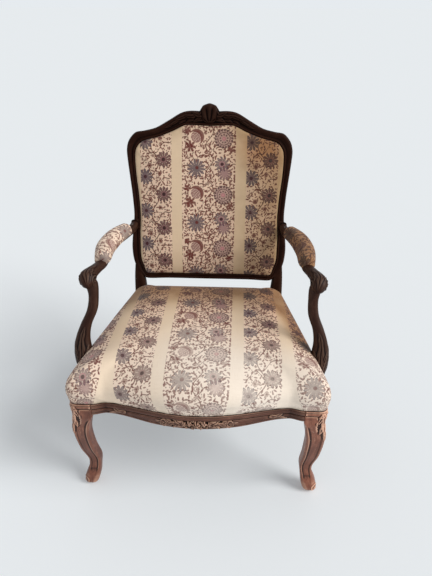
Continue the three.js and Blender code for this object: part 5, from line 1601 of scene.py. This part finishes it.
class ARMCHAIR_OT_stage(bpy.types.Operator):
    """Sets out the floor, the light and the camera"""

    bl_idname = "armchair.stage"
    bl_label = "Stage"

    def execute(self, context):
        scene = context.scene
        scene.view_settings.view_transform = "Standard"
        mesh = bpy.data.meshes.new("floor")
        corners = [(x * FLOOR_HALF_M, y * FLOOR_HALF_M, 0) for x, y in ((-1, -1), (1, -1), (1, 1), (-1, 1))]
        mesh.from_pydata(corners, [], [(0, 1, 2, 3)])
        floor = bpy.data.objects.new("floor", mesh)
        scene.collection.objects.link(floor)
        lit = (*(c * FLOOR_LIT for c in BACKDROP), 1.0)
        glow = {"Emission_Color": (*BACKDROP, 1.0), "Emission_Strength": FLOOR_GLOW}
        mesh.materials.append(Finish("Pale floor").made(lit, 0.9, Specular_IOR_Level=0.0, **glow))

        # The backdrop is seen, while a plainer sky gives the light.
        scene.world = bpy.data.worlds.new("Studio")
        scene.world.use_nodes = True
        sky = Nodes(scene.world.node_tree)
        sky.tree.nodes.clear()
        light = sky.node("ShaderNodeBackground", {}, {"Color": (1, 1, 1, 1), "Strength": SKY_LIGHT})
        shown = sky.node("ShaderNodeBackground", {}, {"Color": (*BACKDROP, 1.0)})
        ray = sky.node("ShaderNodeLightPath").outputs
        seen = sky.math("MAXIMUM", ray["Is Camera Ray"], ray["Is Glossy Ray"])
        chosen = sky.node("ShaderNodeMixShader", {}, [seen, light.outputs[0], shown.outputs[0]])
        sky.node("ShaderNodeOutputWorld", {}, {"Surface": chosen.outputs[0]})

        lamp = bpy.data.lights.new("window", "SUN")
        lamp.energy = SUN_POWER
        lamp.angle = math.radians(SUN_WIDTH_DEGREES)
        lamp.color = (1.0, 0.985, 0.96)
        sun = bpy.data.objects.new("window", lamp)
        sun.rotation_euler = Vector(SUN_WAY).to_track_quat("-Z", "Y").to_euler()
        scene.collection.objects.link(sun)

        camera = bpy.data.cameras.new("camera")
        camera.lens, camera.sensor_width, camera.clip_end = LENS, SENSOR, 1000.0
        eye = bpy.data.objects.new("camera", camera)
        ahead = Vector((math.sin(YAW) * math.cos(PITCH), math.cos(YAW) * math.cos(PITCH), -math.sin(PITCH)))
        right = Vector((math.cos(YAW), -math.sin(YAW), 0))
        above = right.cross(ahead)
        level = math.cos(ROLL) * right + math.sin(ROLL) * above
        tall = -math.sin(ROLL) * right + math.cos(ROLL) * above
        turn = Matrix((level, tall, -ahead)).transposed().to_4x4()
        eye.matrix_world = Matrix.Translation(EYE_M) @ turn
        scene.collection.objects.link(eye)
        scene.camera = eye
        return {"FINISHED"}


class ARMCHAIR_PT_panel(bpy.types.Panel):
    """Lists the armchair's sizes, colours and pieces"""

    bl_idname = "ARMCHAIR_PT_panel"
    bl_label = "Armchair"
    bl_space_type = "VIEW_3D"
    bl_region_type = "UI"
    bl_category = "Armchair"

    def draw(self, context):
        for name in GROUPS:
            group = getattr(context.scene, name)
            box = self.layout.box()
            for key in group.bl_rna.properties.keys():
                if key not in ("rna_type", "name"):
                    box.prop(group, key)
        for operator in OPERATORS:
            self.layout.operator(operator.bl_idname)


OPERATORS = (
    ARMCHAIR_OT_back_frame, ARMCHAIR_OT_seat_rails, ARMCHAIR_OT_front_legs, ARMCHAIR_OT_arms,
    ARMCHAIR_OT_seat, ARMCHAIR_OT_back, ARMCHAIR_OT_arm_pads, ARMCHAIR_OT_inner_parts, ARMCHAIR_OT_stage,
)
CLASSES = (ArmchairWood, ArmchairPrint, ArmchairPadding, *OPERATORS, ARMCHAIR_PT_panel)
GROUPS = {"armchair_wood": ArmchairWood, "armchair_print": ArmchairPrint, "armchair_padding": ArmchairPadding}


def register():
    for item in CLASSES:
        bpy.utils.register_class(item)
    for key, group in GROUPS.items():
        setattr(bpy.types.Scene, key, bpy.props.PointerProperty(type=group))


def unregister():
    for key in GROUPS:
        delattr(bpy.types.Scene, key)
    for item in reversed(CLASSES):
        bpy.utils.unregister_class(item)


def main():
    register()
    for operator in OPERATORS:
        family, name = operator.bl_idname.split(".")
        getattr(getattr(bpy.ops, family), name)()


if __name__ == "__main__":
    main()
